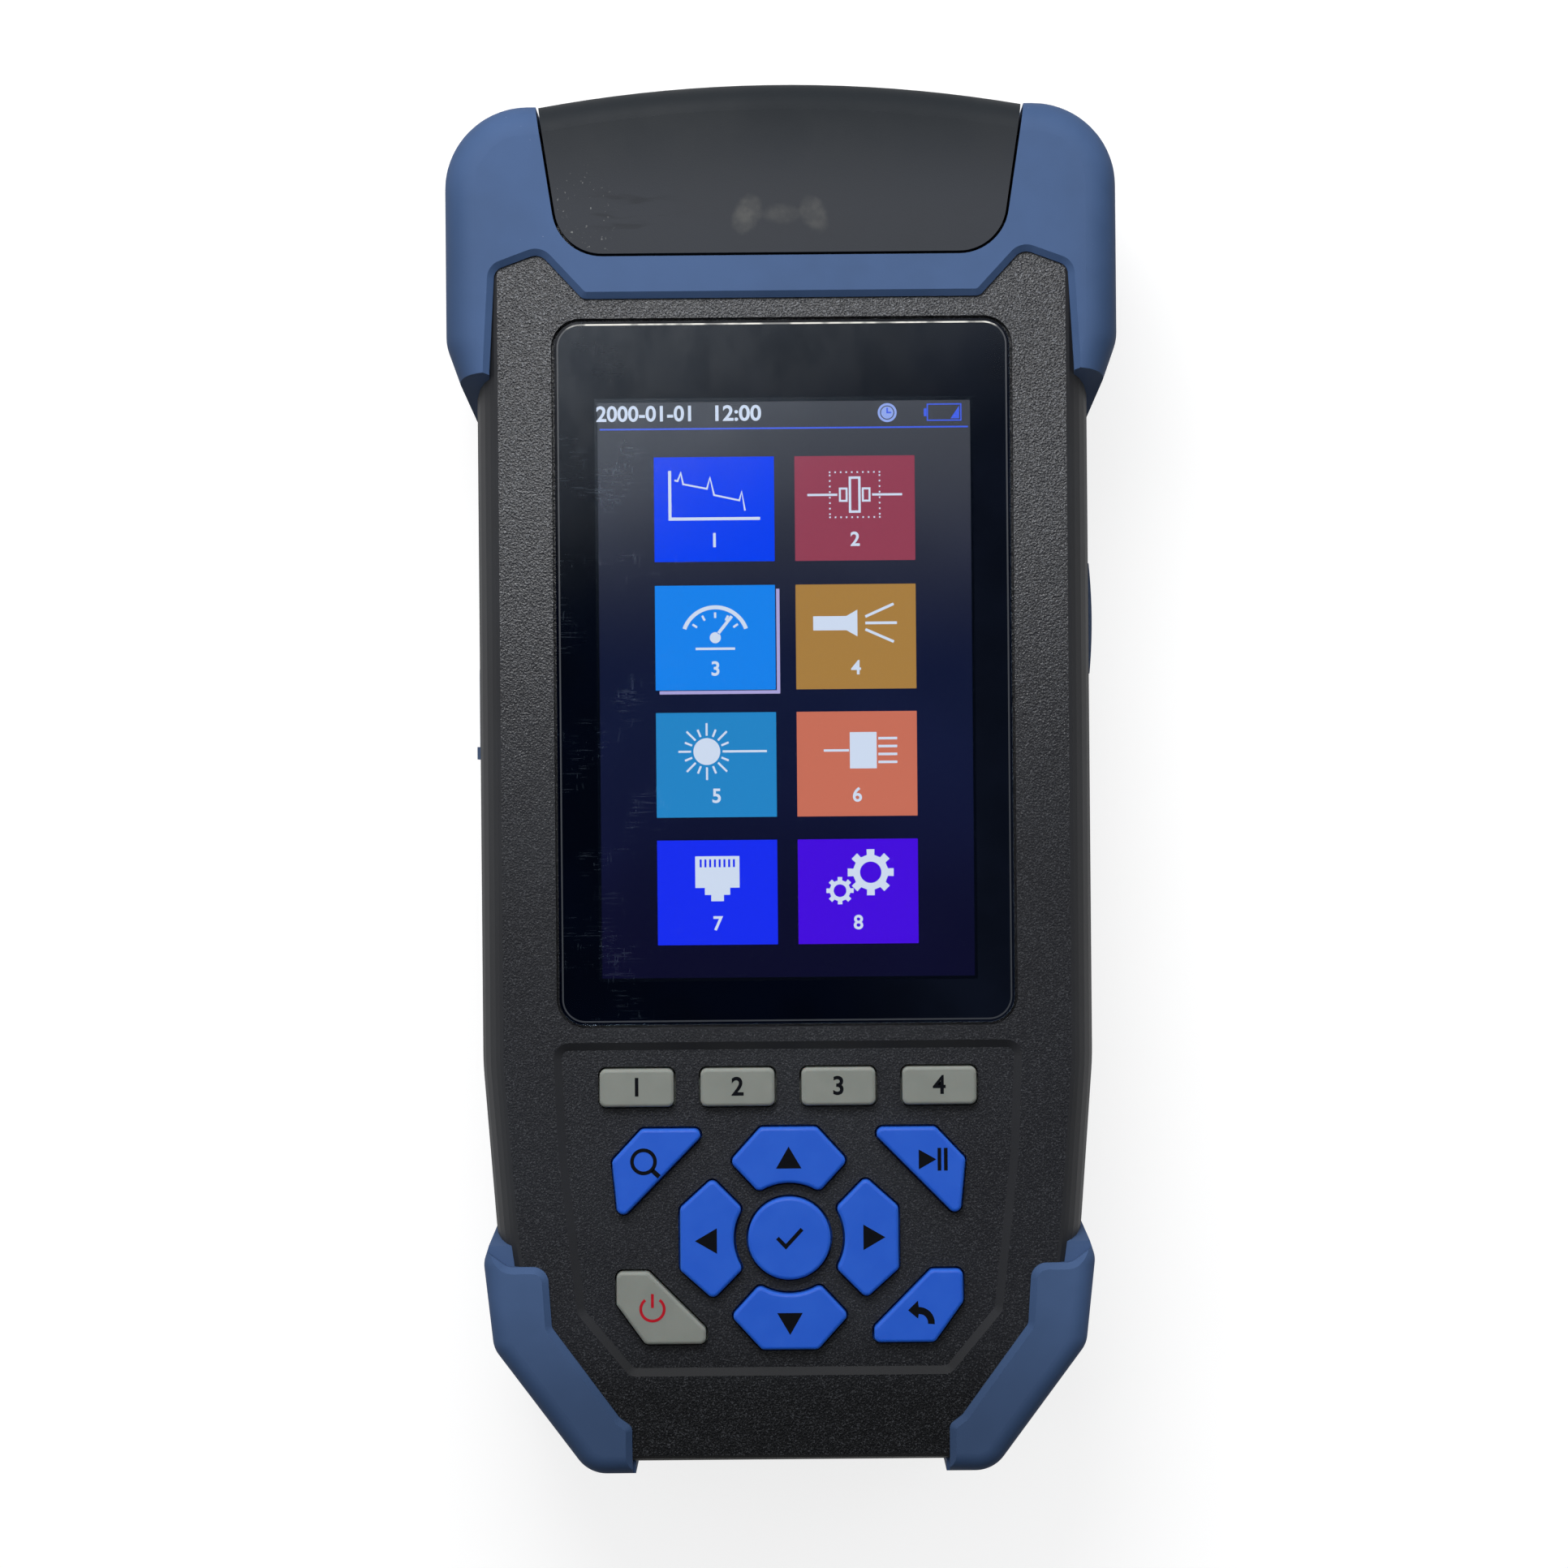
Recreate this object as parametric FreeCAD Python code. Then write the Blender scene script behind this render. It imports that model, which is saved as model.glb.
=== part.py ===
import FreeCAD, Part
import math
import os

# Handheld optical time domain reflectometer, lying on its back.
# Millimetres. +Z is the display side, +Y the head with the optical ports, +X the right of the display.
# The origin is under the middle of the plan outline, on the plane that the rubber bumpers rest on.

# ---- Driving dimensions -------------------------------------------------------------------------
HEAD_Y = 87.6                  # crest of the arched head end
FOOT_Y = -87.6                 # foot end of the two boots
HEAD_ARC = 175.0               # plan radius of the arched head end
BUMPER_HALF = 42.4             # half width across the head bumper
CASE_HALF = 39.2               # half width of the case at its parting line
CASE_FOOT = -86.9              # foot end of the case, between the boots

BUMPER_FRONT = 44.2            # front of the rubber
CASE_FRONT = 43.0              # front of the case
SEAT_FRONT = 42.0              # case under the rubber, in front
PARTING = 21.0                 # where the two case shells meet
CASE_REAR = 1.0                # back of the case
SEAT_REAR = 2.0                # case under the rubber, behind
REST = 0.0                     # back of the rubber, which the instrument lies on

WALL = 2.2                     # case wall
RIB = 1.2                      # thickness of the ribs inside the shells
INNER_FRONT = 40.8             # inside of the front wall
INNER_REAR = 3.2               # inside of the back wall
GAP = 0.35                     # line of daylight round the cover and the lens
RUBBER_ROUND = 4.0             # rounding of the head bumper's rim
BOOT_ROUND = 2.4               # rounding of a boot's rim
BEVEL = 0.8                    # bevel where the rubber meets the case front

LENS_HALF = 28.7
LENS_TOP = 57.7
LENS_FOOT = -31.0
LENS_THICK = 1.5
LENS_BEVEL = 0.35
TAPE_THICK = 0.3
LENS_FLOOR = CASE_FRONT - LENS_THICK - TAPE_THICK
SCREEN_HALF = 24.5             # lit area of a 3.5 inch display, 48.96 by 73.44
SCREEN_X = 0.2
SCREEN_Y = 11.2
SCREEN_LONG = 36.7
LEDGE = 1.4                    # plastic left under the lens round the display opening
PANEL_HALF = 27.3
PANEL_TOP = 51.0
PANEL_FOOT = -32.0

PAD_FLOOR = 42.3               # floor of the keypad recess
KEY_TOP = 43.9
KEY_TRAVEL = 0.7
KEY_GAP = 0.25
KEY_FLANGE = 0.7
KEY_ROUND = 0.45
NAV_Y = -58.0                  # centre of the navigation keys
BOARD_THICK = 1.6
PAD_BOARD = 35.3               # back of the keypad board
MAT_THICK = 1.4
MAIN_BOARD = 31.0              # back of the main board

HINGE_Y = HEAD_Y - 4.7
HINGE_Z = 8.2
HINGE_PIN = 1.0                # radius
HINGE_PLAY = 0.05
HINGE_KNUCKLE = 2.4            # radius
KNUCKLE = (19.5, 22.5)         # from and to, across the case's hinge knuckles
LUG = (22.8, 27.2)             # from and to, across the cover's hinge lugs
COVER_WALL = 2.2
COVER_FOOT_Z = 6.2
COVER_RELIEF = 2.0             # how far the cover's lower corners are drawn in
PORT_ROOM = 24.0               # half width of the room behind the port panel
PORT_PANEL_Y = 67.9
PORT_PANEL_THICK = 2.0
PORT_Z = 30.5
PORT_MOUTH_Y = 78.5
FERRULE = 1.25                 # radius of a 2.5 mm ferrule

JACK_Y = 20.2
JACK_Z = 23.4
USB_Y = 8.6
USB_Z = 29.4
COVER_SEAT = CASE_HALF - 1.2   # distance from the middle to the seats of the two rubber covers

CASE_SCREWS = [(31.2, 58.0), (31.2, -6.0), (24.8, -71.0)]
SCREW_WELL = 2.4               # radius of the wells that the case screws sit in
DOOR_SCREWS = [(14.0, -74.0)]
BOARD_SCREWS = [(30.5, 46.0), (30.5, -24.0)]
PAD_SCREWS = [(26.3, -38.9), (24.6, -64.5)]

# ---- Outlines: corners (x, y, radius), right half from the head down ----------------------------
CORE_HALF = [(CASE_HALF, 81.5, 7.0), (CASE_HALF, -36.0, 40.0), (37.6, -57.0, 30.0),
             (35.5, -71.9, 3.4), (24.5, CASE_FOOT, 3.0)]
FOOT_SLANT = 0.73              # sideways run of the outline's last side for each mm towards the foot
BUMPER_OUTER = [(BUMPER_HALF, 85.1, 10.5), (BUMPER_HALF, 55.0, 6.0), (37.7, 41.75, 5.0)]
BOOT_OUTER = [(36.2, -53.3, 4.0), (38.6, -60.8, 3.0), (37.4, -71.7, 3.6), (25.5, FOOT_Y, 4.5)]
HEAD_WINDOW = [(25.0, 60.5, 1.2), (30.4, 66.3, 1.8), (36.1, 64.2, 1.5), (37.2, 45.0, 0.0)]
FOOT_WINDOW = [(45.0, -50.0, 0.0), (45.0, -54.4, 0.0), (35.5, -61.35, 2.0), (30.5, -61.35, 2.0),
               (30.0, -69.0, 1.0), (21.6, -80.4, 1.2), (20.0, -81.6, 1.0), (20.0, -95.0, 0.0)]
COVER_HALF = [(31.7, 93.0, 0.0), (27.6, 66.1, 6.0)]
LENS = [(LENS_HALF, LENS_TOP, 3.3), (LENS_HALF, LENS_FOOT, 3.3)]
KEYPAD = [(29.6, -33.2, 2.0), (29.0, -47.5, 30.0), (26.8, -67.4, 2.0), (20.2, -75.3, 1.6)]
BATTERY_BAY = [(19.0, -4.5, 2.0), (19.0, -70.5, 2.0)]
BATTERY_DOOR = [(20.5, -3.0, 2.5), (20.5, -77.5, 2.5)]
DOOR_SEAT = 2.9                # floor of the recess that the battery door lies in

# How far the case leans in, as (height, inset, inset of the foot end), from the parting line outwards.
FRONT_DRAFT = [(PARTING, 0.0, 0.0), (30.0, 0.1, 0.1), (36.0, 0.4, 0.3), (39.0, 0.95, 0.5),
               (41.0, 1.65, 0.75), (42.2, 2.4, 1.0), (42.8, 2.95, 1.25), (CASE_FRONT, 3.4, 1.6)]
REAR_DRAFT = [(PARTING, 0.0, 0.0), (12.0, 0.25, 0.25), (7.0, 0.7, 0.7), (4.0, 1.3, 1.3),
              (2.2, 2.2, 2.2), (CASE_REAR, 3.4, 3.4)]


# ---- Outline and solid helpers ------------------------------------------------------------------
def point(x, y, z=0.0):
    return FreeCAD.Vector(x, y, z)


def mirrored(right_half):
    """Whole outline from its right half."""
    return right_half + [(-x, y, radius) for x, y, radius in reversed(right_half)]


def unit(x, y):
    length = math.hypot(x, y)
    return x / length, y / length


def turning(corners):
    """1 for an outline that runs counter-clockwise, -1 for one that runs clockwise."""
    pairs = zip(corners, corners[1:] + corners[:1])
    area = sum(a[0] * b[1] - b[0] * a[1] for a, b in pairs)
    return 1 if area > 0 else -1


def inset(corners, distance):
    """The outline with every side moved inwards by distance, or outwards if it is negative."""
    side = turning(corners)
    moved = []
    for i, (x, y, radius) in enumerate(corners):
        before = corners[i - 1]
        after = corners[(i + 1) % len(corners)]
        ux, uy = unit(x - before[0], y - before[1])
        vx, vy = unit(after[0] - x, after[1] - y)
        sum_x = -(uy + vy) * side
        sum_y = (ux + vx) * side
        reach = distance / (1.0 + ux * vx + uy * vy)
        bulges = (ux * vy - uy * vx) * side > 0
        if radius > 0:
            radius = max(radius - distance if bulges else radius + distance, 0.3)
        moved.append((x + reach * sum_x, y + reach * sum_y, radius))
    return moved


def wire(corners, z):
    """Closed wire at height z, with a tangent arc at each corner that has a radius."""
    starts = []
    ends = []
    arcs = []
    for i, (x, y, radius) in enumerate(corners):
        before = corners[i - 1]
        after = corners[(i + 1) % len(corners)]
        ux, uy = unit(x - before[0], y - before[1])
        vx, vy = unit(after[0] - x, after[1] - y)
        turn = math.acos(max(-1.0, min(1.0, ux * vx + uy * vy)))
        back = radius * math.tan(turn / 2)
        start = point(x - ux * back, y - uy * back, z)
        end = point(x + vx * back, y + vy * back, z)
        starts.append(start)
        ends.append(end)
        if radius > 0:
            wx, wy = unit(vx - ux, vy - uy)
            rise = radius / math.cos(turn / 2) - radius
            arcs.append(Part.Arc(start, point(x + wx * rise, y + wy * rise, z), end).toShape())
        else:
            arcs.append(None)
    edges = []
    for i, arc in enumerate(arcs):
        if arc is not None:
            edges.append(arc)
        following = starts[(i + 1) % len(starts)]
        if ends[i].distanceToPoint(following) > 1e-6:
            edges.append(Part.LineSegment(ends[i], following).toShape())
    return Part.Wire(edges)


def slab(corners, z0, z1):
    """Upright prism on an outline."""
    return Part.Face(wire(corners, z0)).extrude(point(0, 0, z1 - z0))


def drafted(corners, levels):
    """Solid through the outline, inset at each (height, inset) of levels."""
    wires = [wire(inset(corners, distance), z) for z, distance in levels]
    return Part.makeLoft(wires, True, True)


def block(x0, x1, y0, y1, z0, z1):
    return Part.makeBox(x1 - x0, y1 - y0, z1 - z0, point(x0, y0, z0))


def post(x, y, z0, z1, radius):
    return Part.makeCylinder(radius, z1 - z0, point(x, y, z0))


def barrel(x, z, y0, y1, radius):
    """Cylinder along Y."""
    return Part.makeCylinder(radius, y1 - y0, point(x, y0, z), point(0, 1, 0))


def pin_x(x0, x1, y, z, radius):
    """Cylinder along X."""
    return Part.makeCylinder(radius, x1 - x0, point(x0, y, z), point(1, 0, 0))


def side_prism(corners, x0, x1):
    """Prism along X on an outline of (y, z) corners."""
    points = [point(x0, y, z) for y, z in corners]
    return Part.Face(Part.makePolygon(points + points[:1])).extrude(point(x1 - x0, 0, 0))


def head_round(depth):
    """The space behind the arched head end, moved back by depth."""
    return Part.makeCylinder(HEAD_ARC - depth, 80, point(0, HEAD_Y - HEAD_ARC, -10))


def join(shapes):
    whole = shapes[0]
    for shape in shapes[1:]:
        whole = whole.fuse(shape)
    return whole.removeSplitter()


def carve(shape, tools):
    for tool in tools:
        shape = shape.cut(tool)
    return shape


def both_sides(shape):
    """A shape and its mirror image across the YZ plane."""
    return [shape, shape.mirror(point(0, 0, 0), point(1, 0, 0))]


def all_sides(places):
    return [(side * x, y) for x, y in places for side in (1, -1)]


def rounded_rim(shape, radius, heights):
    """Shape with the rim edges that lie at the given heights rounded."""
    rim = []
    for edge in shape.Edges:
        box = edge.BoundBox
        if box.ZLength < 1e-4 and any(abs(box.ZMin - z) < 1e-4 for z in heights):
            rim.append(edge)
    return shape.makeFillet(radius, rim)


# ---- Case ---------------------------------------------------------------------------------------
def head_band(z0, z1):
    """Where the head bumper lies on the front or back of the case."""
    return block(-50, 50, 50.7, 95, z0, z1).cut(slab(mirrored(HEAD_WINDOW), z0, z1))


def foot_band(z0, z1):
    """Where the two boots lie on the front or back of the case."""
    return block(-50, 50, -95, -55, z0, z1).cut(slab(mirrored(FOOT_WINDOW), z0, z1))


def port_bay(clearance, y0, z0, z1):
    """Room under the dust cover, from y0 to the head end."""
    bay = slab(inset(mirrored(COVER_HALF), -clearance), z0, z1)
    return bay.common(block(-50, 50, y0, 95, z0, z1))


def tapered(levels):
    """Solid on the case outline, leaning in by each (height, inset, inset of the foot end)."""
    wires = []
    for z, distance, foot_distance in levels:
        reach = distance - foot_distance
        x, y, radius = CORE_HALF[-1]
        half = CORE_HALF[:-1] + [(x - reach * FOOT_SLANT, y - reach, radius)]
        wires.append(wire(inset(mirrored(half), distance), z))
    return Part.makeLoft(wires, True, True)


def front_body():
    """Front half of the case before it is hollowed, stepped down where the rubber sits."""
    body = tapered(FRONT_DRAFT)
    return carve(body, [head_band(SEAT_FRONT, 50), foot_band(SEAT_FRONT, 50)])


def rear_body():
    """Back half of the case before it is hollowed."""
    body = tapered(REAR_DRAFT)
    return carve(body, [head_band(-5, SEAT_REAR), foot_band(-5, SEAT_REAR)])


def cavity(z0, z1, inset0, inset1):
    """Inside of a case shell, leaving walls round the port bay."""
    room = drafted(mirrored(CORE_HALF), [(z0, inset0), (z1, inset1)])
    return room.cut(port_bay(GAP + 2.0, PORT_PANEL_Y - 2.0, z0, z1))


def parting_groove():
    """Fine V-shaped line round the case where the shells meet."""
    outer = drafted(mirrored(CORE_HALF), [(PARTING - 0.25, -1.0), (PARTING + 0.25, -1.0)])
    low = drafted(mirrored(CORE_HALF), [(PARTING - 0.25, 0.0), (PARTING, 0.35)])
    high = drafted(mirrored(CORE_HALF), [(PARTING, 0.35), (PARTING + 0.25, 0.0)])
    return outer.cut(low).cut(high)


def gasket_ring(z0, z1):
    """Path of the seal in the rim, round the case and behind the port bay."""
    outer = slab(inset(mirrored(CORE_HALF), 0.8), z0, z1).cut(port_bay(GAP + 0.7, 60, z0, z1))
    inner = slab(inset(mirrored(CORE_HALF), 1.6), z0, z1).cut(port_bay(GAP + 1.5, 60, z0, z1))
    return outer.cut(inner)


def jack_window():
    """Opening in the right wall for the network jack, with the seat of its rubber cover."""
    seat = block(COVER_SEAT, 45, JACK_Y - 7.4, JACK_Y + 7.4, JACK_Z - 6.9, JACK_Z + 6.5)
    mouth = block(30, 45, JACK_Y - 6.6, JACK_Y + 6.6, JACK_Z - 4.6, JACK_Z + 4.8)
    return [seat, mouth]


def usb_window():
    """Opening in the left wall for the charging socket, with the seat of its rubber cover."""
    seat = block(-45, -COVER_SEAT, USB_Y - 6.2, USB_Y + 6.6, USB_Z - 3.6, USB_Z + 3.6)
    mouth = block(-45, -30, USB_Y - 4.9, USB_Y + 4.9, USB_Z - 2.1, USB_Z + 2.1)
    return [seat, mouth]


def front_case():
    """Front shell: lens pocket, keypad recess, key holes, screw posts and half of the port bay."""
    shell = front_body().cut(cavity(PARTING - 1, INNER_FRONT, WALL, WALL + 1.5))
    pad = slab(inset(mirrored(LENS), -2.0), LENS_FLOOR - LEDGE, INNER_FRONT + 0.2)
    posts = [post(x, y, PARTING, INNER_FRONT + 0.2, 3.0) for x, y in all_sides(CASE_SCREWS)]
    posts += [post(x, y, MAIN_BOARD + BOARD_THICK, INNER_FRONT + 0.2, 2.6)
              for x, y in all_sides(BOARD_SCREWS)]
    posts += [post(x, y, PAD_BOARD + BOARD_THICK, INNER_FRONT + 0.2, 1.9)
              for x, y in all_sides(PAD_SCREWS)]
    ribs = []
    for y in (32.0, -18.0, -44.0):
        ribs += both_sides(block(34.6, CASE_HALF, y - RIB / 2, y + RIB / 2, 24.0, INNER_FRONT + 0.2))
    shell = join([shell, pad] + posts + ribs).common(front_body())
    pocket = slab(inset(mirrored(LENS), -GAP), LENS_FLOOR, 50)
    display = slab([(SCREEN_X + SCREEN_HALF + 0.8, SCREEN_Y + SCREEN_LONG + 0.8, 1.0),
                    (SCREEN_X + SCREEN_HALF + 0.8, SCREEN_Y - SCREEN_LONG - 0.8, 1.0),
                    (SCREEN_X - SCREEN_HALF - 0.8, SCREEN_Y - SCREEN_LONG - 0.8, 1.0),
                    (SCREEN_X - SCREEN_HALF - 0.8, SCREEN_Y + SCREEN_LONG + 0.8, 1.0)], 30, 50)
    keypad = drafted(mirrored(KEYPAD), [(PAD_FLOOR, 1.0), (CASE_FRONT, 0.0), (CASE_FRONT + 0.1, -0.1)])
    tools = [pocket, display, keypad]
    tools += [key_blank(name, KEY_GAP, PAD_FLOOR - 8, PAD_FLOOR + 1) for name in KEYS]
    tools += [port_bay(GAP, 60, SEAT_FRONT - 0.3, 50), port_bay(GAP, PORT_PANEL_Y, PARTING - 5, 50)]
    tools += [block(-PORT_ROOM, PORT_ROOM, 60, 70, PARTING - 5, 38.0)]
    tools += [post(x, y, PARTING - 1, PARTING + 10, 1.05) for x, y in all_sides(CASE_SCREWS)]
    tools += [post(x, y, 30, MAIN_BOARD + BOARD_THICK + 5, 0.8) for x, y in all_sides(BOARD_SCREWS)]
    tools += [post(x, y, 30, PAD_BOARD + BOARD_THICK + 3, 0.7) for x, y in all_sides(PAD_SCREWS)]
    tools += jack_window() + usb_window() + [parting_groove()]
    return carve(shell, tools)


def rear_case():
    """Back shell: battery bay, screw posts, hinge knuckles and the lip under the dust cover."""
    shell = rear_body().cut(cavity(INNER_REAR, PARTING + 1, WALL + 2.6, WALL))
    posts = [post(x, y, CASE_REAR + 0.5, PARTING, 3.6) for x, y in all_sides(CASE_SCREWS)]
    posts += [post(x, y, CASE_REAR + 0.5, 8.0, 2.4) for x, y in all_sides(DOOR_SCREWS)]
    ledge = slab(inset(mirrored(BATTERY_DOOR), -2.0), CASE_REAR + 0.5, DOOR_SEAT + 1.7)
    bay_wall = slab(inset(mirrored(BATTERY_BAY), -1.5), CASE_REAR + 0.5, 16.0)
    ribs = []
    for y in (-20.0, -38.0, -56.0):
        ribs += both_sides(block(20.2, CASE_HALF, y - RIB / 2, y + RIB / 2, CASE_REAR + 0.5, 9.0))
    shell = join([shell, ledge, bay_wall] + posts + ribs).common(rear_body())
    tools = [slab(mirrored(BATTERY_BAY), -1, 17.0)]
    tools += [slab(inset(mirrored(BATTERY_DOOR), -KEY_GAP), -1, DOOR_SEAT)]
    for x, y in all_sides(CASE_SCREWS):
        tools += [post(x, y, -1, 6.0, SCREW_WELL), post(x, y, 0, PARTING + 1, 1.4)]
    tools += [post(x, y, -1, 7.5, 0.9) for x, y in all_sides(DOOR_SCREWS)]
    tools += [port_bay(GAP, PORT_PANEL_Y, 2.6, 50), block(-PORT_ROOM, PORT_ROOM, 60, 70, 8.0, 50)]
    tools += jack_window() + usb_window() + [parting_groove(), gasket_ring(PARTING - 1.0, PARTING + 1)]
    shell = carve(shell, tools)
    lip = slab(mirrored(COVER_HALF), CASE_REAR, 2.6).common(head_round(0.2))
    return join([shell, lip] + both_sides(case_knuckle()))


def case_knuckle():
    """Hinge knuckle that stands on the lip and holds a pin."""
    neck = block(*KNUCKLE, HINGE_Y - HINGE_KNUCKLE, HINGE_Y + 1.7, 1.8, HINGE_Z)
    eye = pin_x(*KNUCKLE, HINGE_Y, HINGE_Z, HINGE_KNUCKLE)
    return neck.fuse(eye).cut(pin_x(KNUCKLE[0] - 1, KNUCKLE[1] + 1, HINGE_Y, HINGE_Z, HINGE_PIN))


def case_gasket():
    """Silicone cord in the rim groove, parted where the network jack crosses the rim."""
    return carve(gasket_ring(PARTING - 1.0, PARTING), jack_window())


def battery_door():
    """Screwed lid of the battery bay, flush with the back, with finger grooves at its head end."""
    lid = slab(mirrored(BATTERY_DOOR), CASE_REAR, DOOR_SEAT)
    grooves = [block(-8, 8, y, y + 0.8, 0, CASE_REAR + 0.5) for y in (-12.0, -10.0, -8.0)]
    holes = [post(x, y, 0, 4, 1.1) for x, y in all_sides(DOOR_SCREWS)]
    holes += [post(x, y, 0, CASE_REAR + 0.8, 2.1) for x, y in all_sides(DOOR_SCREWS)]
    return carve(lid, grooves + holes)


# ---- Rubber -------------------------------------------------------------------------------------
def wrap(outline, rim_round, profile):
    """Rubber envelope: a rounded prism, trimmed by its (y, z) side profile."""
    prism = slab(mirrored(outline), REST, BUMPER_FRONT)
    prism = rounded_rim(prism, rim_round, (REST, BUMPER_FRONT))
    return prism.common(side_prism(profile, -60, 60))


def bevelled(window):
    """Cutters for an opening in the rubber, flared at its front and its back."""
    outline = mirrored(window)
    front = slab(outline, SEAT_FRONT, BUMPER_FRONT + 1)
    front_flare = drafted(outline, [(BUMPER_FRONT - BEVEL, 0.0), (BUMPER_FRONT + 0.2, -BEVEL - 0.2)])
    rear = slab(outline, REST - 1, SEAT_REAR)
    rear_flare = drafted(outline, [(REST - 0.2, -BEVEL - 0.2), (REST + BEVEL, 0.0)])
    return [front, front_flare, rear, rear_flare]


def upper_bumper():
    """Head bumper: two horns round the shoulders, joined by a band across the front and the back."""
    profile = [(51.3, REST), (45.0, 19.0), (45.0, 25.0), (51.3, BUMPER_FRONT), (95, BUMPER_FRONT),
               (95, REST)]
    rubber = wrap(BUMPER_OUTER, RUBBER_ROUND, profile)
    tools = [front_body(), rear_body()] + bevelled(HEAD_WINDOW)
    tools += [slab(inset(mirrored(COVER_HALF), -GAP), -5, 50)]
    tools += [block(-32, 32, 66, 82, SEAT_REAR, SEAT_FRONT)]
    return carve(rubber, tools)


def boot(side):
    """Corner boot at the foot end; side is 1 for the right one and -1 for the left one."""
    profile = [(-59.2, REST), (-55.5, 19.0), (-55.5, 25.0), (-59.2, BUMPER_FRONT),
               (-95, BUMPER_FRONT), (-95, REST)]
    rubber = wrap(BOOT_OUTER, BOOT_ROUND, profile)
    half = block(19.6, 60, -95, -40, -5, 60)
    if side < 0:
        half = half.mirror(point(0, 0, 0), point(1, 0, 0))
    return carve(rubber.common(half), [front_body(), rear_body()] + bevelled(FOOT_WINDOW))


# ---- Dust cover ---------------------------------------------------------------------------------
def cover_relief():
    """Wedge off the cover's lower right corner, which lets it swing past the shoulder of the case."""
    edge = 30.8
    low = COVER_FOOT_Z - 0.5
    high = HINGE_Z + 3.8
    corners = [(edge - COVER_RELIEF, low), (edge + 2, low), (edge + 2, high), (edge, high)]
    points = [point(x, HINGE_Y - 5, z) for x, z in corners]
    return Part.Face(Part.makePolygon(points + points[:1])).extrude(point(0, 15, 0))


def dust_cover():
    """Hinged cap over the ports: a front plate and an arched end wall with two hinge lugs."""
    outline = mirrored(COVER_HALF)
    prism = slab(outline, COVER_FOOT_Z, BUMPER_FRONT).common(head_round(0.0))
    head_edge = [edge for edge in prism.Edges
                 if edge.BoundBox.ZMin > BUMPER_FRONT - 1e-3 and edge.BoundBox.YMax > HEAD_Y - 1.0]
    prism = prism.makeFillet(3.5, head_edge)
    plate_back = BUMPER_FRONT - COVER_WALL
    hollow = slab(inset(outline, -8.0), -5, plate_back).common(head_round(COVER_WALL))
    shell = prism.cut(hollow)
    lug = pin_x(*LUG, HINGE_Y, HINGE_Z, 2.6)
    lug = lug.fuse(block(*LUG, HINGE_Y, HINGE_Y + 2.0, HINGE_Z, HINGE_Z + 6))
    web = side_prism([(70.0, plate_back), (84.0, plate_back), (84.0, 20.0), (82.0, 20.0)], 26.2, 27.5)
    shell = join([shell] + both_sides(lug.common(head_round(0.0))) + both_sides(web))
    tools = both_sides(pin_x(20, 30, HINGE_Y, HINGE_Z, HINGE_PIN + HINGE_PLAY))
    tools += both_sides(block(KNUCKLE[0] - 0.3, LUG[0], 78, 90, 0, HINGE_Z + 2.6))
    tools += both_sides(cover_relief())
    return carve(shell, tools)


def hinge_pins():
    return Part.makeCompound(both_sides(pin_x(KNUCKLE[0], LUG[1], HINGE_Y, HINGE_Z, HINGE_PIN)))


# ---- Display ------------------------------------------------------------------------------------
def display_lens():
    """Acrylic window with a fine bevel round its front edge."""
    return drafted(mirrored(LENS), [(LENS_FLOOR + TAPE_THICK, 0.0), (CASE_FRONT - LENS_BEVEL, 0.0),
                                    (CASE_FRONT, LENS_BEVEL)])


def lens_tape():
    """Black adhesive frame between the lens and its pocket, which masks all but the lit area."""
    frame = slab(inset(mirrored(LENS), 0.4), LENS_FLOOR, LENS_FLOOR + TAPE_THICK)
    half = SCREEN_HALF - 0.6
    reach = SCREEN_LONG + 0.1
    return frame.cut(block(SCREEN_X - half, SCREEN_X + half, SCREEN_Y - reach, SCREEN_Y + reach, 40, 44))


def lcd_panel():
    """Glass of the display."""
    return block(-PANEL_HALF, PANEL_HALF, PANEL_FOOT, PANEL_TOP, 38.2, LENS_FLOOR - LEDGE - 0.05)


def lcd_frame():
    """Backlight tray behind the glass, with a rim that holds it."""
    tray = block(-PANEL_HALF - 0.5, PANEL_HALF + 0.5, PANEL_FOOT - 0.5, PANEL_TOP + 0.5, 36.2, 39.2)
    return tray.cut(block(-PANEL_HALF, PANEL_HALF, PANEL_FOOT, PANEL_TOP, 38.2, 42))


# ---- Keys ---------------------------------------------------------------------------------------
def mirror_x(points):
    return [(-x, y) for x, y in points]


def turned(points):
    return [(y, x) for x, y in points]


UP_KEY = [(-3.54, 14.0), (3.54, 14.0), (7.4, 9.74), (3.2, 5.2), (-3.2, 5.2), (-7.4, 9.74)]
RIGHT_KEY = [(13.75, -3.9), (13.75, 3.9), (9.64, 7.6), (5.2, 3.1), (5.2, -3.1), (9.64, -7.6)]
RUN_KEY = [(10.0, 13.9), (18.5, 13.9), (22.25, 9.9), (21.5, 2.2)]
BACK_KEY = [(17.8, -4.05), (21.8, -4.05), (21.8, -8.2), (18.2, -13.2), (10.6, -13.2), (10.6, -11.3)]
SOFT_KEY = [(-4.66, -2.38), (4.66, -2.38), (4.66, 2.38), (-4.66, 2.38)]
OK_RADIUS = 5.2
RING_RADIUS = 7.0              # arrow keys are scooped round the middle key
SOFT_Y = -38.9
SOFT_PITCH = 12.7
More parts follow.
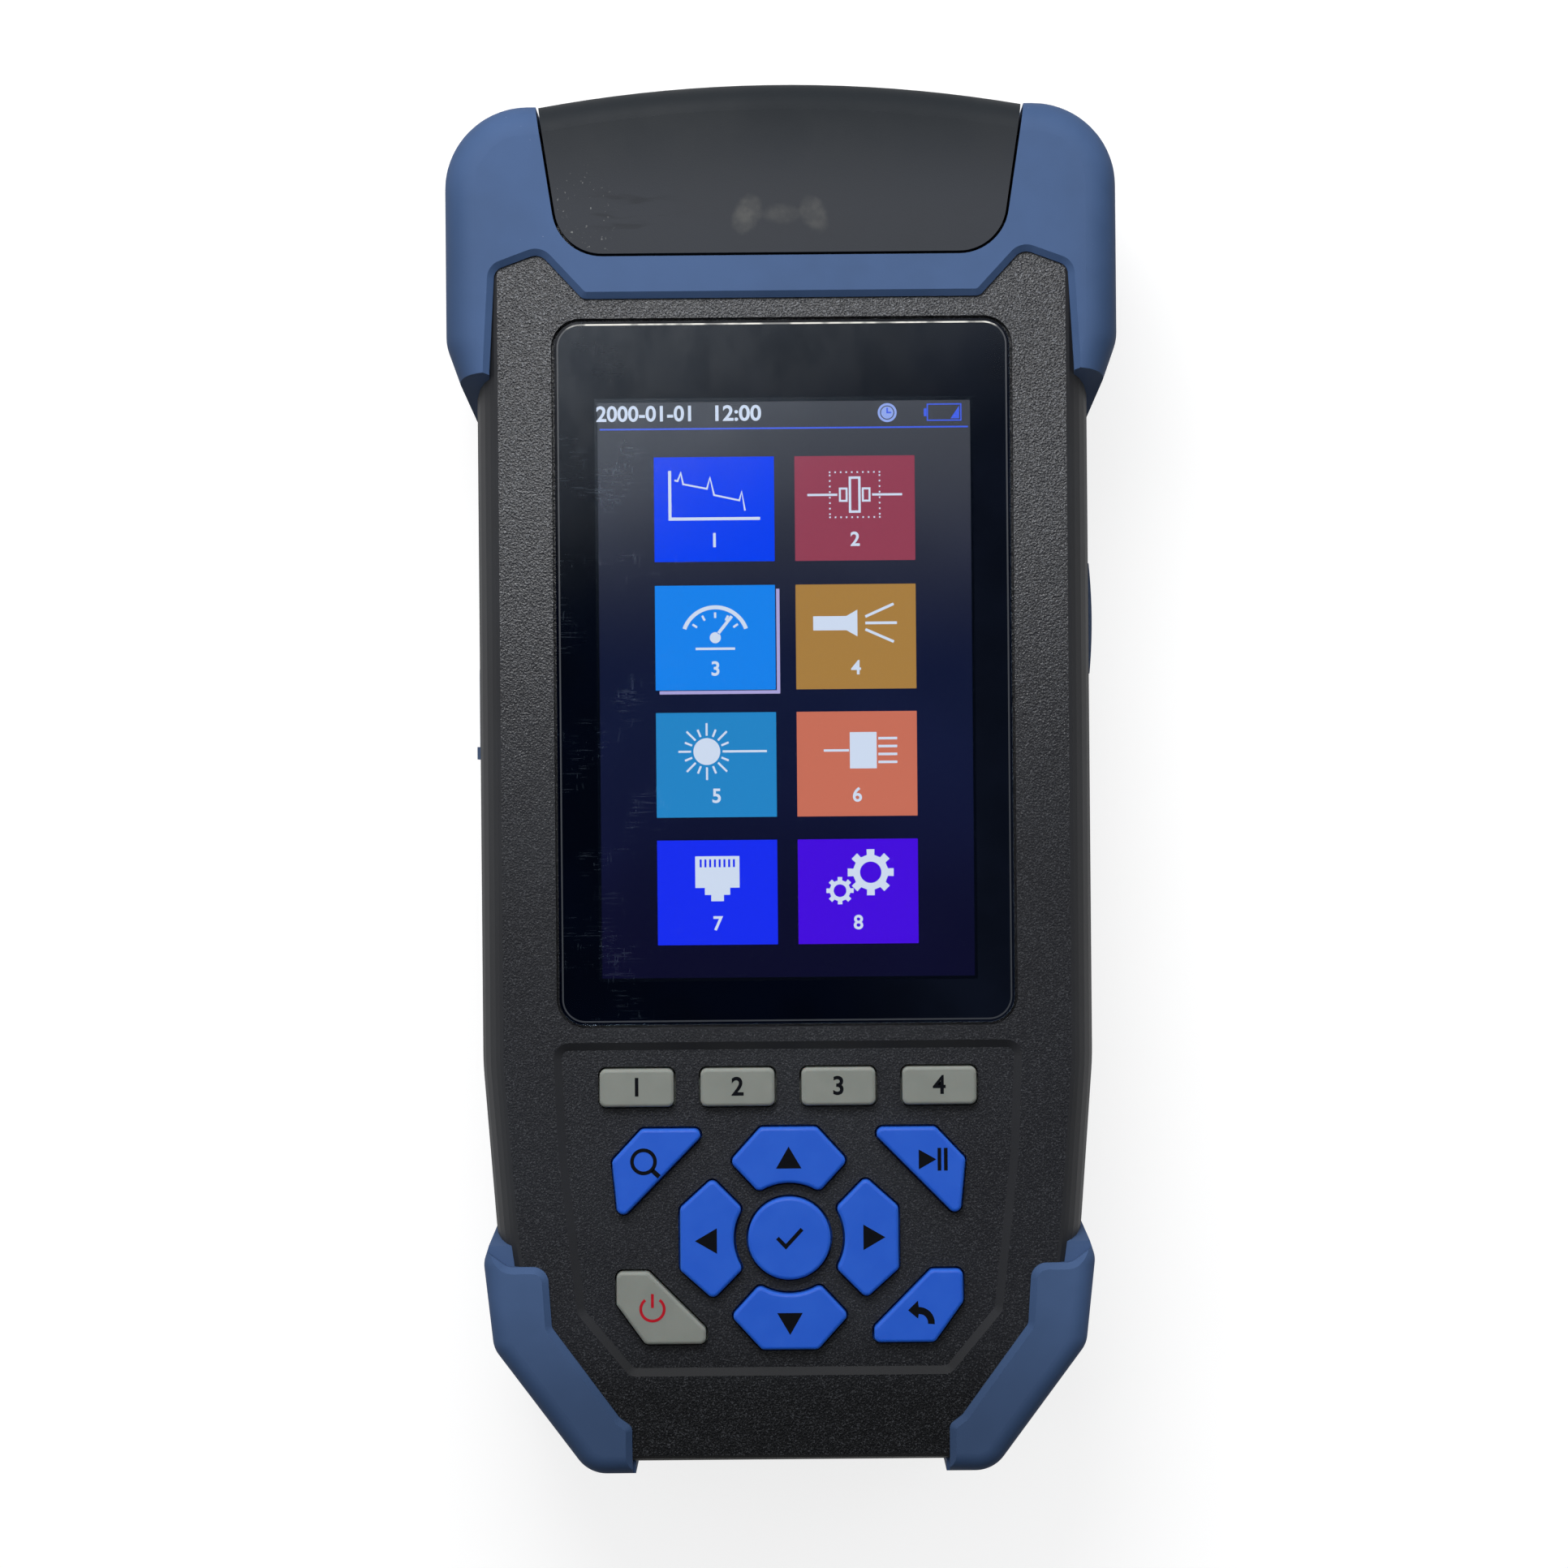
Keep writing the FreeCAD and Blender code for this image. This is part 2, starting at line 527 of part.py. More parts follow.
KEYS = {
    "key_soft_1": (SOFT_KEY, -1.5 * SOFT_PITCH, SOFT_Y),
    "key_soft_2": (SOFT_KEY, -0.5 * SOFT_PITCH, SOFT_Y),
    "key_soft_3": (SOFT_KEY, 0.5 * SOFT_PITCH, SOFT_Y),
    "key_soft_4": (SOFT_KEY, 1.5 * SOFT_PITCH, SOFT_Y),
    "key_zoom": (mirror_x(RUN_KEY), 0.0, NAV_Y),
    "key_run_stop": (RUN_KEY, 0.0, NAV_Y),
    "key_up": (UP_KEY, 0.0, NAV_Y),
    "key_down": ([(x, -y) for x, y in UP_KEY], 0.0, NAV_Y),
    "key_left": (mirror_x(RIGHT_KEY), 0.0, NAV_Y),
    "key_right": (RIGHT_KEY, 0.0, NAV_Y),
    "key_ok": (None, 0.0, NAV_Y),
    "key_power": (mirror_x(BACK_KEY), 0.0, NAV_Y),
    "key_back": (BACK_KEY, 0.0, NAV_Y),
}
SCOOPED = ("key_up", "key_down", "key_left", "key_right")


def key_face(name, grow):
    """Plan of a key with softened corners, grown by a distance all round."""
    points, x, y = KEYS[name]
    if points is None:
        ring = Part.makeCircle(OK_RADIUS + grow, point(x, y))
        return Part.Face(Part.Wire([ring]))
    corners = [point(x + px, y + py) for px, py in points]
    face = Part.Face(Part.makePolygon(corners + corners[:1]))
    if name in SCOOPED:
        face = face.cut(Part.Face(Part.Wire([Part.makeCircle(RING_RADIUS, point(x, y))])))
        face = face.Faces[0]
    soft = 0.8
    return face.makeOffset2D(-soft).makeOffset2D(soft + grow)


def key_blank(name, grow, z0, z1):
    face = key_face(name, grow)
    face.translate(point(0, 0, z0))
    return face.extrude(point(0, 0, z1 - z0))


def key(name):
    """Moulded key: rounded cap, a flange that keeps it behind the case, and a plunger."""
    cap = key_blank(name, 0.0, INNER_FRONT - 0.3, KEY_TOP)
    cap = rounded_rim(cap, KEY_ROUND, (KEY_TOP,))
    flange = key_blank(name, KEY_FLANGE, INNER_FRONT - 1.4, INNER_FRONT - 0.2)
    plunger = key_blank(name, -1.0, PAD_BOARD + BOARD_THICK + 1.2, INNER_FRONT - 1.3)
    return join([cap, flange, plunger])


def keypad_mat():
    """Silicone sheet on the keypad board, open under each key and round the screw posts."""
    floor = PAD_BOARD + BOARD_THICK
    sheet = slab(inset(mirrored(KEYPAD), 1.2), floor, floor + MAT_THICK)
    tools = [key_blank(name, -0.5, floor - 1, floor + 5) for name in KEYS]
    tools += [post(x, y, floor - 1, floor + 5, 2.3) for x, y in all_sides(PAD_SCREWS)]
    tools += [post(x, y, floor - 1, floor + 5, 3.6) for x, y in all_sides(CASE_SCREWS)]
    return carve(sheet, tools)


def dome_switches():
    """Snap dome under each key."""
    floor = PAD_BOARD + BOARD_THICK
    domes = []
    for name in KEYS:
        middle = key_face(name, 0.0).CenterOfMass
        cap = Part.makeSphere(7.0, point(middle.x, middle.y, floor + 0.3 - 7.0))
        domes.append(cap.common(block(middle.x - 1.7, middle.x + 1.7, middle.y - 1.7,
                                      middle.y + 1.7, floor, floor + 1)))
    return Part.makeCompound(domes)


def keypad_board():
    board = slab(inset(mirrored(KEYPAD), 0.8), PAD_BOARD, PAD_BOARD + BOARD_THICK)
    tools = [post(x, y, 30, 40, 0.9) for x, y in all_sides(PAD_SCREWS)]
    tools += [post(x, y, 30, 40, 3.6) for x, y in all_sides(CASE_SCREWS)]
    return carve(board, tools)


# ---- Ports --------------------------------------------------------------------------------------
OPM_X = -19.5                  # power meter port
OTDR_X = -4.0                  # reflectometer port
VFL_X = 10.0                   # visible laser port
TORCH_X = 21.0
FACE_Y = PORT_PANEL_Y + PORT_PANEL_THICK


def port_panel():
    """Plate behind the ports, held between the two shells."""
    plate = port_bay(GAP - 0.08, PORT_PANEL_Y, 2.75, SEAT_FRONT - 0.45)
    plate = plate.common(block(-50, 50, PORT_PANEL_Y, FACE_Y, 0, 50))
    rib = block(-26, 26, FACE_Y, FACE_Y + 0.8, PORT_Z - 12.0, PORT_Z - 11.0)
    holes = [barrel(OPM_X, PORT_Z, 60, 80, 4.6), barrel(OTDR_X, PORT_Z, 60, 80, 3.4),
             barrel(VFL_X, PORT_Z, 60, 80, 3.4), barrel(TORCH_X, PORT_Z, 60, 80, 3.1)]
    holes += [barrel(OTDR_X + dx, PORT_Z + dz, 60, 80, 0.9) for dx, dz in ((-5.2, 4.9), (5.2, -4.9))]
    return carve(join([plate, rib]), holes)


def threaded_barrel(x, y0, y1, radius, bore, depth):
    """Stepped metal barrel with a counterbored mouth and a rounded rim."""
    body = barrel(x, PORT_Z, y0, y1, radius)
    rim = [edge for edge in body.Edges if edge.BoundBox.YMin > y1 - 1e-3]
    body = body.makeChamfer(0.4, rim)
    return body.cut(barrel(x, PORT_Z, y1 - depth, y1 + 1, bore))


def otdr_adaptor():
    """Square-flanged connector adaptor with a keyed barrel and a stem through the port panel."""
    plate = block(OTDR_X - 7, OTDR_X + 7, FACE_Y, FACE_Y + 1.6, PORT_Z - 6.6, PORT_Z + 6.6)
    edges = [edge for edge in plate.Edges if edge.BoundBox.YLength > 1.5]
    plate = plate.makeFillet(1.5, edges)
    body = threaded_barrel(OTDR_X, FACE_Y, PORT_MOUTH_Y, 4.0, 2.7, 7.6)
    stem = barrel(OTDR_X, PORT_Z, PORT_PANEL_Y - 1.0, FACE_Y + 1.6, 3.3)
    body = join([plate, body, stem])
    keyway = block(OTDR_X - 1.0, OTDR_X + 1.0, PORT_MOUTH_Y - 4.0, PORT_MOUTH_Y + 1,
                   PORT_Z + 2.2, PORT_Z + 5)
    tools = [keyway, barrel(OTDR_X, PORT_Z, 60, 80, 1.65)]
    tools += [barrel(OTDR_X + dx, PORT_Z + dz, 60, 80, 0.9) for dx, dz in ((-5.2, 4.9), (5.2, -4.9))]
    return carve(body, tools)


def otdr_sleeve():
    """Ceramic alignment sleeve that takes the ferrule."""
    tube = barrel(OTDR_X, PORT_Z, PORT_MOUTH_Y - 11.0, PORT_MOUTH_Y - 0.8, 1.65)
    return tube.cut(barrel(OTDR_X, PORT_Z, 60, 80, FERRULE))


def opm_adaptor():
    """Power meter port: a knurled ring with a ferrule bore in front of the detector."""
    ring = threaded_barrel(OPM_X, FACE_Y, FACE_Y + 6.6, 6.2, 3.6, 2.0)
    knurls = []
    for step in range(16):
        angle = 2 * math.pi * step / 16
        knurls.append(barrel(OPM_X + 6.6 * math.cos(angle), PORT_Z + 6.6 * math.sin(angle),
                             FACE_Y + 1.0, FACE_Y + 5.0, 0.7))
    stem = barrel(OPM_X, PORT_Z, PORT_PANEL_Y - 1.0, FACE_Y, 4.5)
    return carve(ring.fuse(stem), knurls + [barrel(OPM_X, PORT_Z, 60, 80, FERRULE)])


def vfl_adaptor():
    """Visible laser port: a plain metal barrel with a ferrule bore."""
    collar = barrel(VFL_X, PORT_Z, FACE_Y, FACE_Y + 1.4, 5.4)
    body = threaded_barrel(VFL_X, PORT_PANEL_Y - 1.0, PORT_MOUTH_Y - 1.0, 3.3, 2.0, 1.2)
    return join([collar, body]).cut(barrel(VFL_X, PORT_Z, 60, 80, FERRULE))


def torch_lens():
    """Clear dome of the torch lamp in its collar."""
    dome = Part.makeSphere(3.0, point(TORCH_X, FACE_Y + 0.8, PORT_Z))
    stem = barrel(TORCH_X, PORT_Z, PORT_PANEL_Y, FACE_Y + 0.8, 3.0)
    tip = dome.common(barrel(TORCH_X, PORT_Z, FACE_Y + 0.8, 80, 3.0))
    return join([stem, tip])


def torch_collar():
    ring = barrel(TORCH_X, PORT_Z, FACE_Y, FACE_Y + 1.5, 4.4)
    return ring.cut(barrel(TORCH_X, PORT_Z, 60, 80, 3.1))


def vfl_laser():
    """Laser diode can behind the visible laser port."""
    return barrel(VFL_X, PORT_Z, 56.0, PORT_PANEL_Y - 1.1, 3.2)


def opm_detector():
    """Photodiode can behind the power meter port."""
    can = barrel(OPM_X, PORT_Z, 62.5, PORT_PANEL_Y - 1.1, 4.2)
    return can.fuse(barrel(OPM_X, PORT_Z, 61.5, 62.5, 4.7))


def rj45_jack():
    """Network jack: plastic body with the stepped mouth that takes the plug and its latch."""
    body = block(16.0, 35.8, JACK_Y - 7.9, JACK_Y + 7.9, JACK_Z - 6.0, MAIN_BOARD)
    nose = block(35.7, COVER_SEAT - 0.1, JACK_Y - 6.5, JACK_Y + 6.5, JACK_Z - 4.5, JACK_Z + 4.7)
    body = body.fuse(nose)
    mouth = block(22.0, 40, JACK_Y - 5.95, JACK_Y + 5.95, JACK_Z - 2.6, JACK_Z + 4.1)
    latch = block(24.0, 40, JACK_Y - 3.1, JACK_Y + 3.1, JACK_Z - 3.9, JACK_Z)
    tongue = block(28.0, 40, JACK_Y - 1.7, JACK_Y + 1.7, JACK_Z - 4.4, JACK_Z)
    return carve(body, [mouth, latch, tongue])


def rj45_contacts():
    """Eight sprung contact wires at the top of the jack's mouth."""
    wires = []
    for place in range(8):
        y = JACK_Y + (place - 3.5) * 1.02
        slope = [(22.0, JACK_Z + 1.6), (32.0, JACK_Z + 4.0), (32.0, JACK_Z + 4.1),
                 (31.0, JACK_Z + 4.1), (22.0, JACK_Z + 2.0)]
        points = [point(x, y - 0.2, z) for x, z in slope]
        wires.append(Part.Face(Part.makePolygon(points + points[:1])).extrude(point(0, 0.4, 0)))
    return Part.makeCompound(wires)


def rj45_cover():
    """Rubber flap over the network jack, arched outwards, with a hinge bead along its back edge."""
    inner = COVER_SEAT + 0.2
    outer = inner + 1.0
    flap = block(inner, outer, JACK_Y - 7.1, JACK_Y + 7.1, JACK_Z - 6.0, JACK_Z + 6.2)
    corners = [edge for edge in flap.Edges if edge.BoundBox.XLength > 0.9]
    flap = flap.makeFillet(1.5, corners)
    bulge = 74.0
    arch = Part.makeCylinder(bulge, 12.2, point(outer + 0.45 - bulge, JACK_Y, JACK_Z - 6.0))
    arch = arch.common(block(outer - 0.1, outer + 1, JACK_Y - 7.1, JACK_Y + 7.1, JACK_Z - 4.5,
                             JACK_Z + 6.2))
    plug = block(inner - 1.1, inner + 0.1, JACK_Y - 5.5, JACK_Y + 5.5, JACK_Z - 2.1, JACK_Z + 3.6)
    bead = Part.makeCylinder(0.5, 11.0, point(inner + 0.5, JACK_Y - 5.5, JACK_Z - 6.0), point(0, 1, 0))
    return join([flap, arch, plug, bead])


def usb_socket():
    """Steel shell of the charging socket with its contact tongue."""
    mouth = 0.3 - COVER_SEAT
    shell = block(mouth, mouth + 7.5, USB_Y - 4.5, USB_Y + 4.5, USB_Z - 1.6, USB_Z + 1.6)
    ends = [edge for edge in shell.Edges if edge.BoundBox.XLength > 7]
    shell = shell.makeFillet(1.5, ends)
    room = block(mouth - 1.0, mouth + 6.5, USB_Y - 4.2, USB_Y + 4.2, USB_Z - 1.3, USB_Z + 1.3)
    ends = [edge for edge in room.Edges if edge.BoundBox.XLength > 7]
    room = room.makeFillet(1.2, ends)
    tongue = block(mouth + 1.5, mouth + 7.0, USB_Y - 3.0, USB_Y + 3.0, USB_Z - 0.35, USB_Z + 0.35)
    return shell.cut(room).fuse(tongue)


def usb_cover():
    """Rubber flap over the charging socket, with a hinge bead and a pull lip."""
    inner = -COVER_SEAT - 0.2
    flap = block(inner - 0.85, inner, USB_Y - 5.9, USB_Y + 5.9, USB_Z - 3.3, USB_Z + 3.3)
    corners = [edge for edge in flap.Edges if edge.BoundBox.XLength > 0.8]
    flap = flap.makeFillet(1.2, corners)
    lip = block(inner - 1.3, inner - 0.7, USB_Y - 5.9, USB_Y - 4.3, USB_Z - 2.0, USB_Z + 2.0)
    bead = post(inner - 0.45, USB_Y + 5.9, USB_Z - 2.6, USB_Z + 2.6, 0.4)
    return join([flap, lip, bead])


# ---- Inside -------------------------------------------------------------------------------------
def main_board():
    """Main circuit board, notched round the screw posts."""
    half = [(34.0, 52.0, 1.5), (34.0, -6.0, 0.0), (33.4, -29.0, 1.5)]
    board = slab(mirrored(half), MAIN_BOARD, MAIN_BOARD + BOARD_THICK)
    tools = [post(x, y, 20, 40, 3.9) for x, y in all_sides(CASE_SCREWS)]
    tools += [post(x, y, 20, 40, 1.1) for x, y in all_sides(BOARD_SCREWS)]
    return carve(board, tools)


def shield_cans():
    """Pressed screening cans on the back of the main board."""
    floor = MAIN_BOARD
    cans = [block(-26, -6, -22, -4, floor - 2.6, floor), block(0, 12, -20, -6, floor - 2.2, floor),
            block(-24, -8, 6, 30, floor - 3.0, floor)]
    rounded = []
    for can in cans:
        rim = [edge for edge in can.Edges if edge.BoundBox.ZMax < floor - 1.0]
        rounded.append(can.makeFillet(0.5, rim))
    return Part.makeCompound(rounded)


def buzzer():
    body = post(20.0, -14.0, MAIN_BOARD - 4.6, MAIN_BOARD, 6.0)
    return body.cut(post(20.0, -14.0, MAIN_BOARD - 6, MAIN_BOARD - 3.8, 1.2))


def otdr_module():
    """Screened optical module in the back of the case, with its fixing ears."""
    box = block(-27.0, 27.0, 9.0, 57.0, 4.2, 16.4)
    edges = [edge for edge in box.Edges if edge.BoundBox.ZLength > 10]
    box = box.makeFillet(2.0, edges)
    lid = block(-27.4, 27.4, 8.6, 57.4, 14.6, 15.4)
    ears = [block(-5, 5, 4.6, 9.2, 4.2, 5.8), block(-5, 5, 56.8, 61.4, 4.2, 5.8)]
    holes = [post(0, y, 0, 10, 1.6) for y in (6.6, 59.4)]
    return carve(join([box, lid] + ears), holes)


def fibre_spool():
    """Flanged spool for the launch fibre."""
    x, y, z = -8.0, 38.0, 16.5
    spool = join([post(x, y, z, z + 0.8, 18.5), post(x, y, z, z + 5.0, 14.0),
                  post(x, y, z + 4.2, z + 5.0, 18.5)])
    return spool.cut(post(x, y, z - 1, z + 6, 11.5))


def launch_fibre():
    """Coil of fibre wound on the spool."""
    coil = post(-8.0, 38.0, 17.4, 20.6, 16.6)
    return coil.cut(post(-8.0, 38.0, 17, 21, 14.05))


def battery_pack():
    """Two cylindrical cells side by side in a shrink sleeve."""
    cells = []
    for x in (-9.2, 9.2):
        cell = barrel(x, 12.4, -70.0, -5.0, 9.1)
        ends = [edge for edge in cell.Edges if edge.BoundBox.YLength < 1e-3]
        cells.append(cell.makeFillet(0.8, ends))
    return join(cells + [block(-9.2, 9.2, -69.0, -6.0, 4.3, 20.5)])


def pan_screw(x, y, seat, length, shank, head, drop):
    """Cross-slotted pan-head screw: its head hangs below the height seat, its shank runs up."""
    low = seat - drop
    cap = rounded_rim(post(x, y, low, seat, head), drop * 0.4, (low,))
    tail = post(x, y, seat, seat + length, shank)
    depth = drop * 0.4
    cross = [block(x - 1.2, x + 1.2, y - 0.25, y + 0.25, low - 1, low + depth),
             block(x - 0.25, x + 0.25, y - 1.2, y + 1.2, low - 1, low + depth)]
    return carve(cap.fuse(tail), cross)


def case_screws():
    return Part.makeCompound([pan_screw(x, y, 6.0, 22.0, 1.05, 2.1, 1.6)
                              for x, y in all_sides(CASE_SCREWS)])


def door_screws():
    return Part.makeCompound([pan_screw(x, y, CASE_REAR + 0.8, 5.5, 0.9, 1.8, 0.7)
                              for x, y in all_sides(DOOR_SCREWS)])


def board_screws():
    return Part.makeCompound([pan_screw(x, y, MAIN_BOARD, 6.0, 0.8, 1.8, 1.2)
                              for x, y in all_sides(BOARD_SCREWS)])


def keypad_screws():
    return Part.makeCompound([pan_screw(x, y, PAD_BOARD, 4.0, 0.7, 1.6, 1.1)
                              for x, y in all_sides(PAD_SCREWS)])


def adaptor_screws():
    """Two small screws through the flange of the reflectometer port."""
    screws = []
    for dx, dz in ((-5.2, 4.9), (5.2, -4.9)):
        x = OTDR_X + dx
        z = PORT_Z + dz
        head = barrel(x, z, FACE_Y + 1.6, FACE_Y + 2.6, 1.5)
        slot = block(x - 1.6, x + 1.6, FACE_Y + 2.2, FACE_Y + 3, z - 0.2, z + 0.2)
        screws.append(head.fuse(barrel(x, z, PORT_PANEL_Y - 2.0, FACE_Y + 1.6, 0.85)).cut(slot))
    return Part.makeCompound(screws)


PARTS = {
    "front_case": front_case,
    "rear_case": rear_case,
    "case_gasket": case_gasket,
    "battery_door": battery_door,
    "upper_bumper": upper_bumper,
    "lower_right_boot": lambda: boot(1),
    "lower_left_boot": lambda: boot(-1),
    "dust_cover": dust_cover,
    "hinge_pins": hinge_pins,
    "display_lens": display_lens,
    "lens_tape": lens_tape,
    "lcd_panel": lcd_panel,
    "lcd_frame": lcd_frame,
    "keypad_mat": keypad_mat,
    "dome_switches": dome_switches,
    "keypad_board": keypad_board,
    "port_panel": port_panel,
    "otdr_adaptor": otdr_adaptor,
    "otdr_sleeve": otdr_sleeve,
    "opm_adaptor": opm_adaptor,
    "vfl_adaptor": vfl_adaptor,
    "torch_lens": torch_lens,
    "torch_collar": torch_collar,
    "vfl_laser": vfl_laser,
    "opm_detector": opm_detector,
    "rj45_jack": rj45_jack,
    "rj45_contacts": rj45_contacts,
    "rj45_cover": rj45_cover,
    "usb_socket": usb_socket,
    "usb_cover": usb_cover,
    "main_board": main_board,
    "shield_cans": shield_cans,
    "buzzer": buzzer,
    "otdr_module": otdr_module,
    "fibre_spool": fibre_spool,
    "launch_fibre": launch_fibre,
    "battery_pack": battery_pack,
    "case_screws": case_screws,
    "door_screws": door_screws,
    "board_screws": board_screws,
    "keypad_screws": keypad_screws,
    "adaptor_screws": adaptor_screws,
}


def main():
    os.makedirs("parts", exist_ok=True)
    for name, make in PARTS.items():
        make().exportStep("parts/" + name + ".step")
    for name in KEYS:
        key(name).exportStep("parts/" + name + ".step")


main()
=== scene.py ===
import math

import bpy
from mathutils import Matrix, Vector


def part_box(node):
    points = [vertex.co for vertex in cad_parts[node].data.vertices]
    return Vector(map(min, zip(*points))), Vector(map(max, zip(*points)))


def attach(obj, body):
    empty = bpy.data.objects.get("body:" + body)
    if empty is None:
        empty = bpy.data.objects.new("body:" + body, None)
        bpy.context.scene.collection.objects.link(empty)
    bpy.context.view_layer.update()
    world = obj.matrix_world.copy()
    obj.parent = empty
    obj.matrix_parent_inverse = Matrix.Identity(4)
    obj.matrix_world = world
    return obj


# Looks of a handheld optical time domain reflectometer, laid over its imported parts.
# Lengths in this script are millimetres unless a comment says otherwise; MM turns them into metres.
# X runs to the instrument's right, Y towards its head end, and Z up from its back to its display.

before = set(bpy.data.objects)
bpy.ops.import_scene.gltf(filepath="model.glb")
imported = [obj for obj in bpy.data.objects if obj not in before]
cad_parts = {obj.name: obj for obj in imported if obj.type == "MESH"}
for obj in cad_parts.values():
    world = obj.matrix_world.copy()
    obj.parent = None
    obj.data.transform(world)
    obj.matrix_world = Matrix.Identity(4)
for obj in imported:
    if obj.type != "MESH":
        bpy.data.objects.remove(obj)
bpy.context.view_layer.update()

MM = 0.001
DECAL = 0.03                   # thickness of a printed mark
KEY_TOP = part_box("key_ok")[1].z / MM
LENS_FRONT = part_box("display_lens")[1].z / MM
GLASS_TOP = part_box("lcd_panel")[1].z / MM
CASE_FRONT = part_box("front_case")[1].z / MM

SOFT_KEYS = ["key_soft_1", "key_soft_2", "key_soft_3", "key_soft_4"]
GREY_KEYS = SOFT_KEYS + ["key_power"]
BLUE_KEYS = ["key_zoom", "key_run_stop", "key_up", "key_down", "key_left", "key_right", "key_ok",
             "key_back"]


# ---- Colours and nodes ---------------------------------------------------------------------------
BLACK = (0, 0, 0, 1)
WHITE = (1, 1, 1, 1)
# Where a Mix node has its two colours and its result, behind those for numbers and vectors.
MIX_COLOURS = slice(6, 8)
MIX_RESULT = 2


def tint(red, green, blue):
    """Linear colour from display values of 0 to 255, by the sRGB curve."""
    linear = []
    for value in (red, green, blue):
        level = value / 255
        linear.append(level / 12.92 if level <= 0.04045 else ((level + 0.055) / 1.055) ** 2.4)
    return (*linear, 1.0)


class Nodes:
    """Adds nodes to a tree. What it is given may be plain values or the outputs of other nodes."""

    def __init__(self, tree):
        self.tree = tree

    def new(self, kind, **settings):
        node = self.tree.nodes.new(kind)
        for setting, value in settings.items():
            setattr(node, setting, value)
        return node

    def feed(self, socket, value):
        """Links a node's output to the socket, or sets a plain value."""
        if isinstance(value, bpy.types.NodeSocket):
            self.tree.links.new(value, socket)
        else:
            socket.default_value = value

    def calc(self, operation, first, second=0.0):
        node = self.new("ShaderNodeMath", operation=operation)
        self.feed(node.inputs[0], first)
        self.feed(node.inputs[1], second)
        return node.outputs[0]

    def product(self, first, *others):
        for other in others:
            first = self.calc("MULTIPLY", first, other)
        return first

    def span(self, value, low, high, to=(0.0, 1.0)):
        """Value mapped smoothly from low..high to another range, and held at its ends."""
        node = self.new("ShaderNodeMapRange", interpolation_type="SMOOTHSTEP")
        self.feed(node.inputs["Value"], value)
        node.inputs["From Min"].default_value = low
        node.inputs["From Max"].default_value = high
        node.inputs["To Min"].default_value = to[0]
        node.inputs["To Max"].default_value = to[1]
        return node.outputs["Result"]

    def towards(self, place, turn):
        """How far a place lies along +Y when +Y is turned left in the plan by that many degrees."""
        node = self.new("ShaderNodeVectorMath", operation="DOT_PRODUCT")
        self.feed(node.inputs[0], place)
        self.feed(node.inputs[1], (-math.sin(math.radians(turn)), math.cos(math.radians(turn)), 0))
        return node.outputs["Value"]


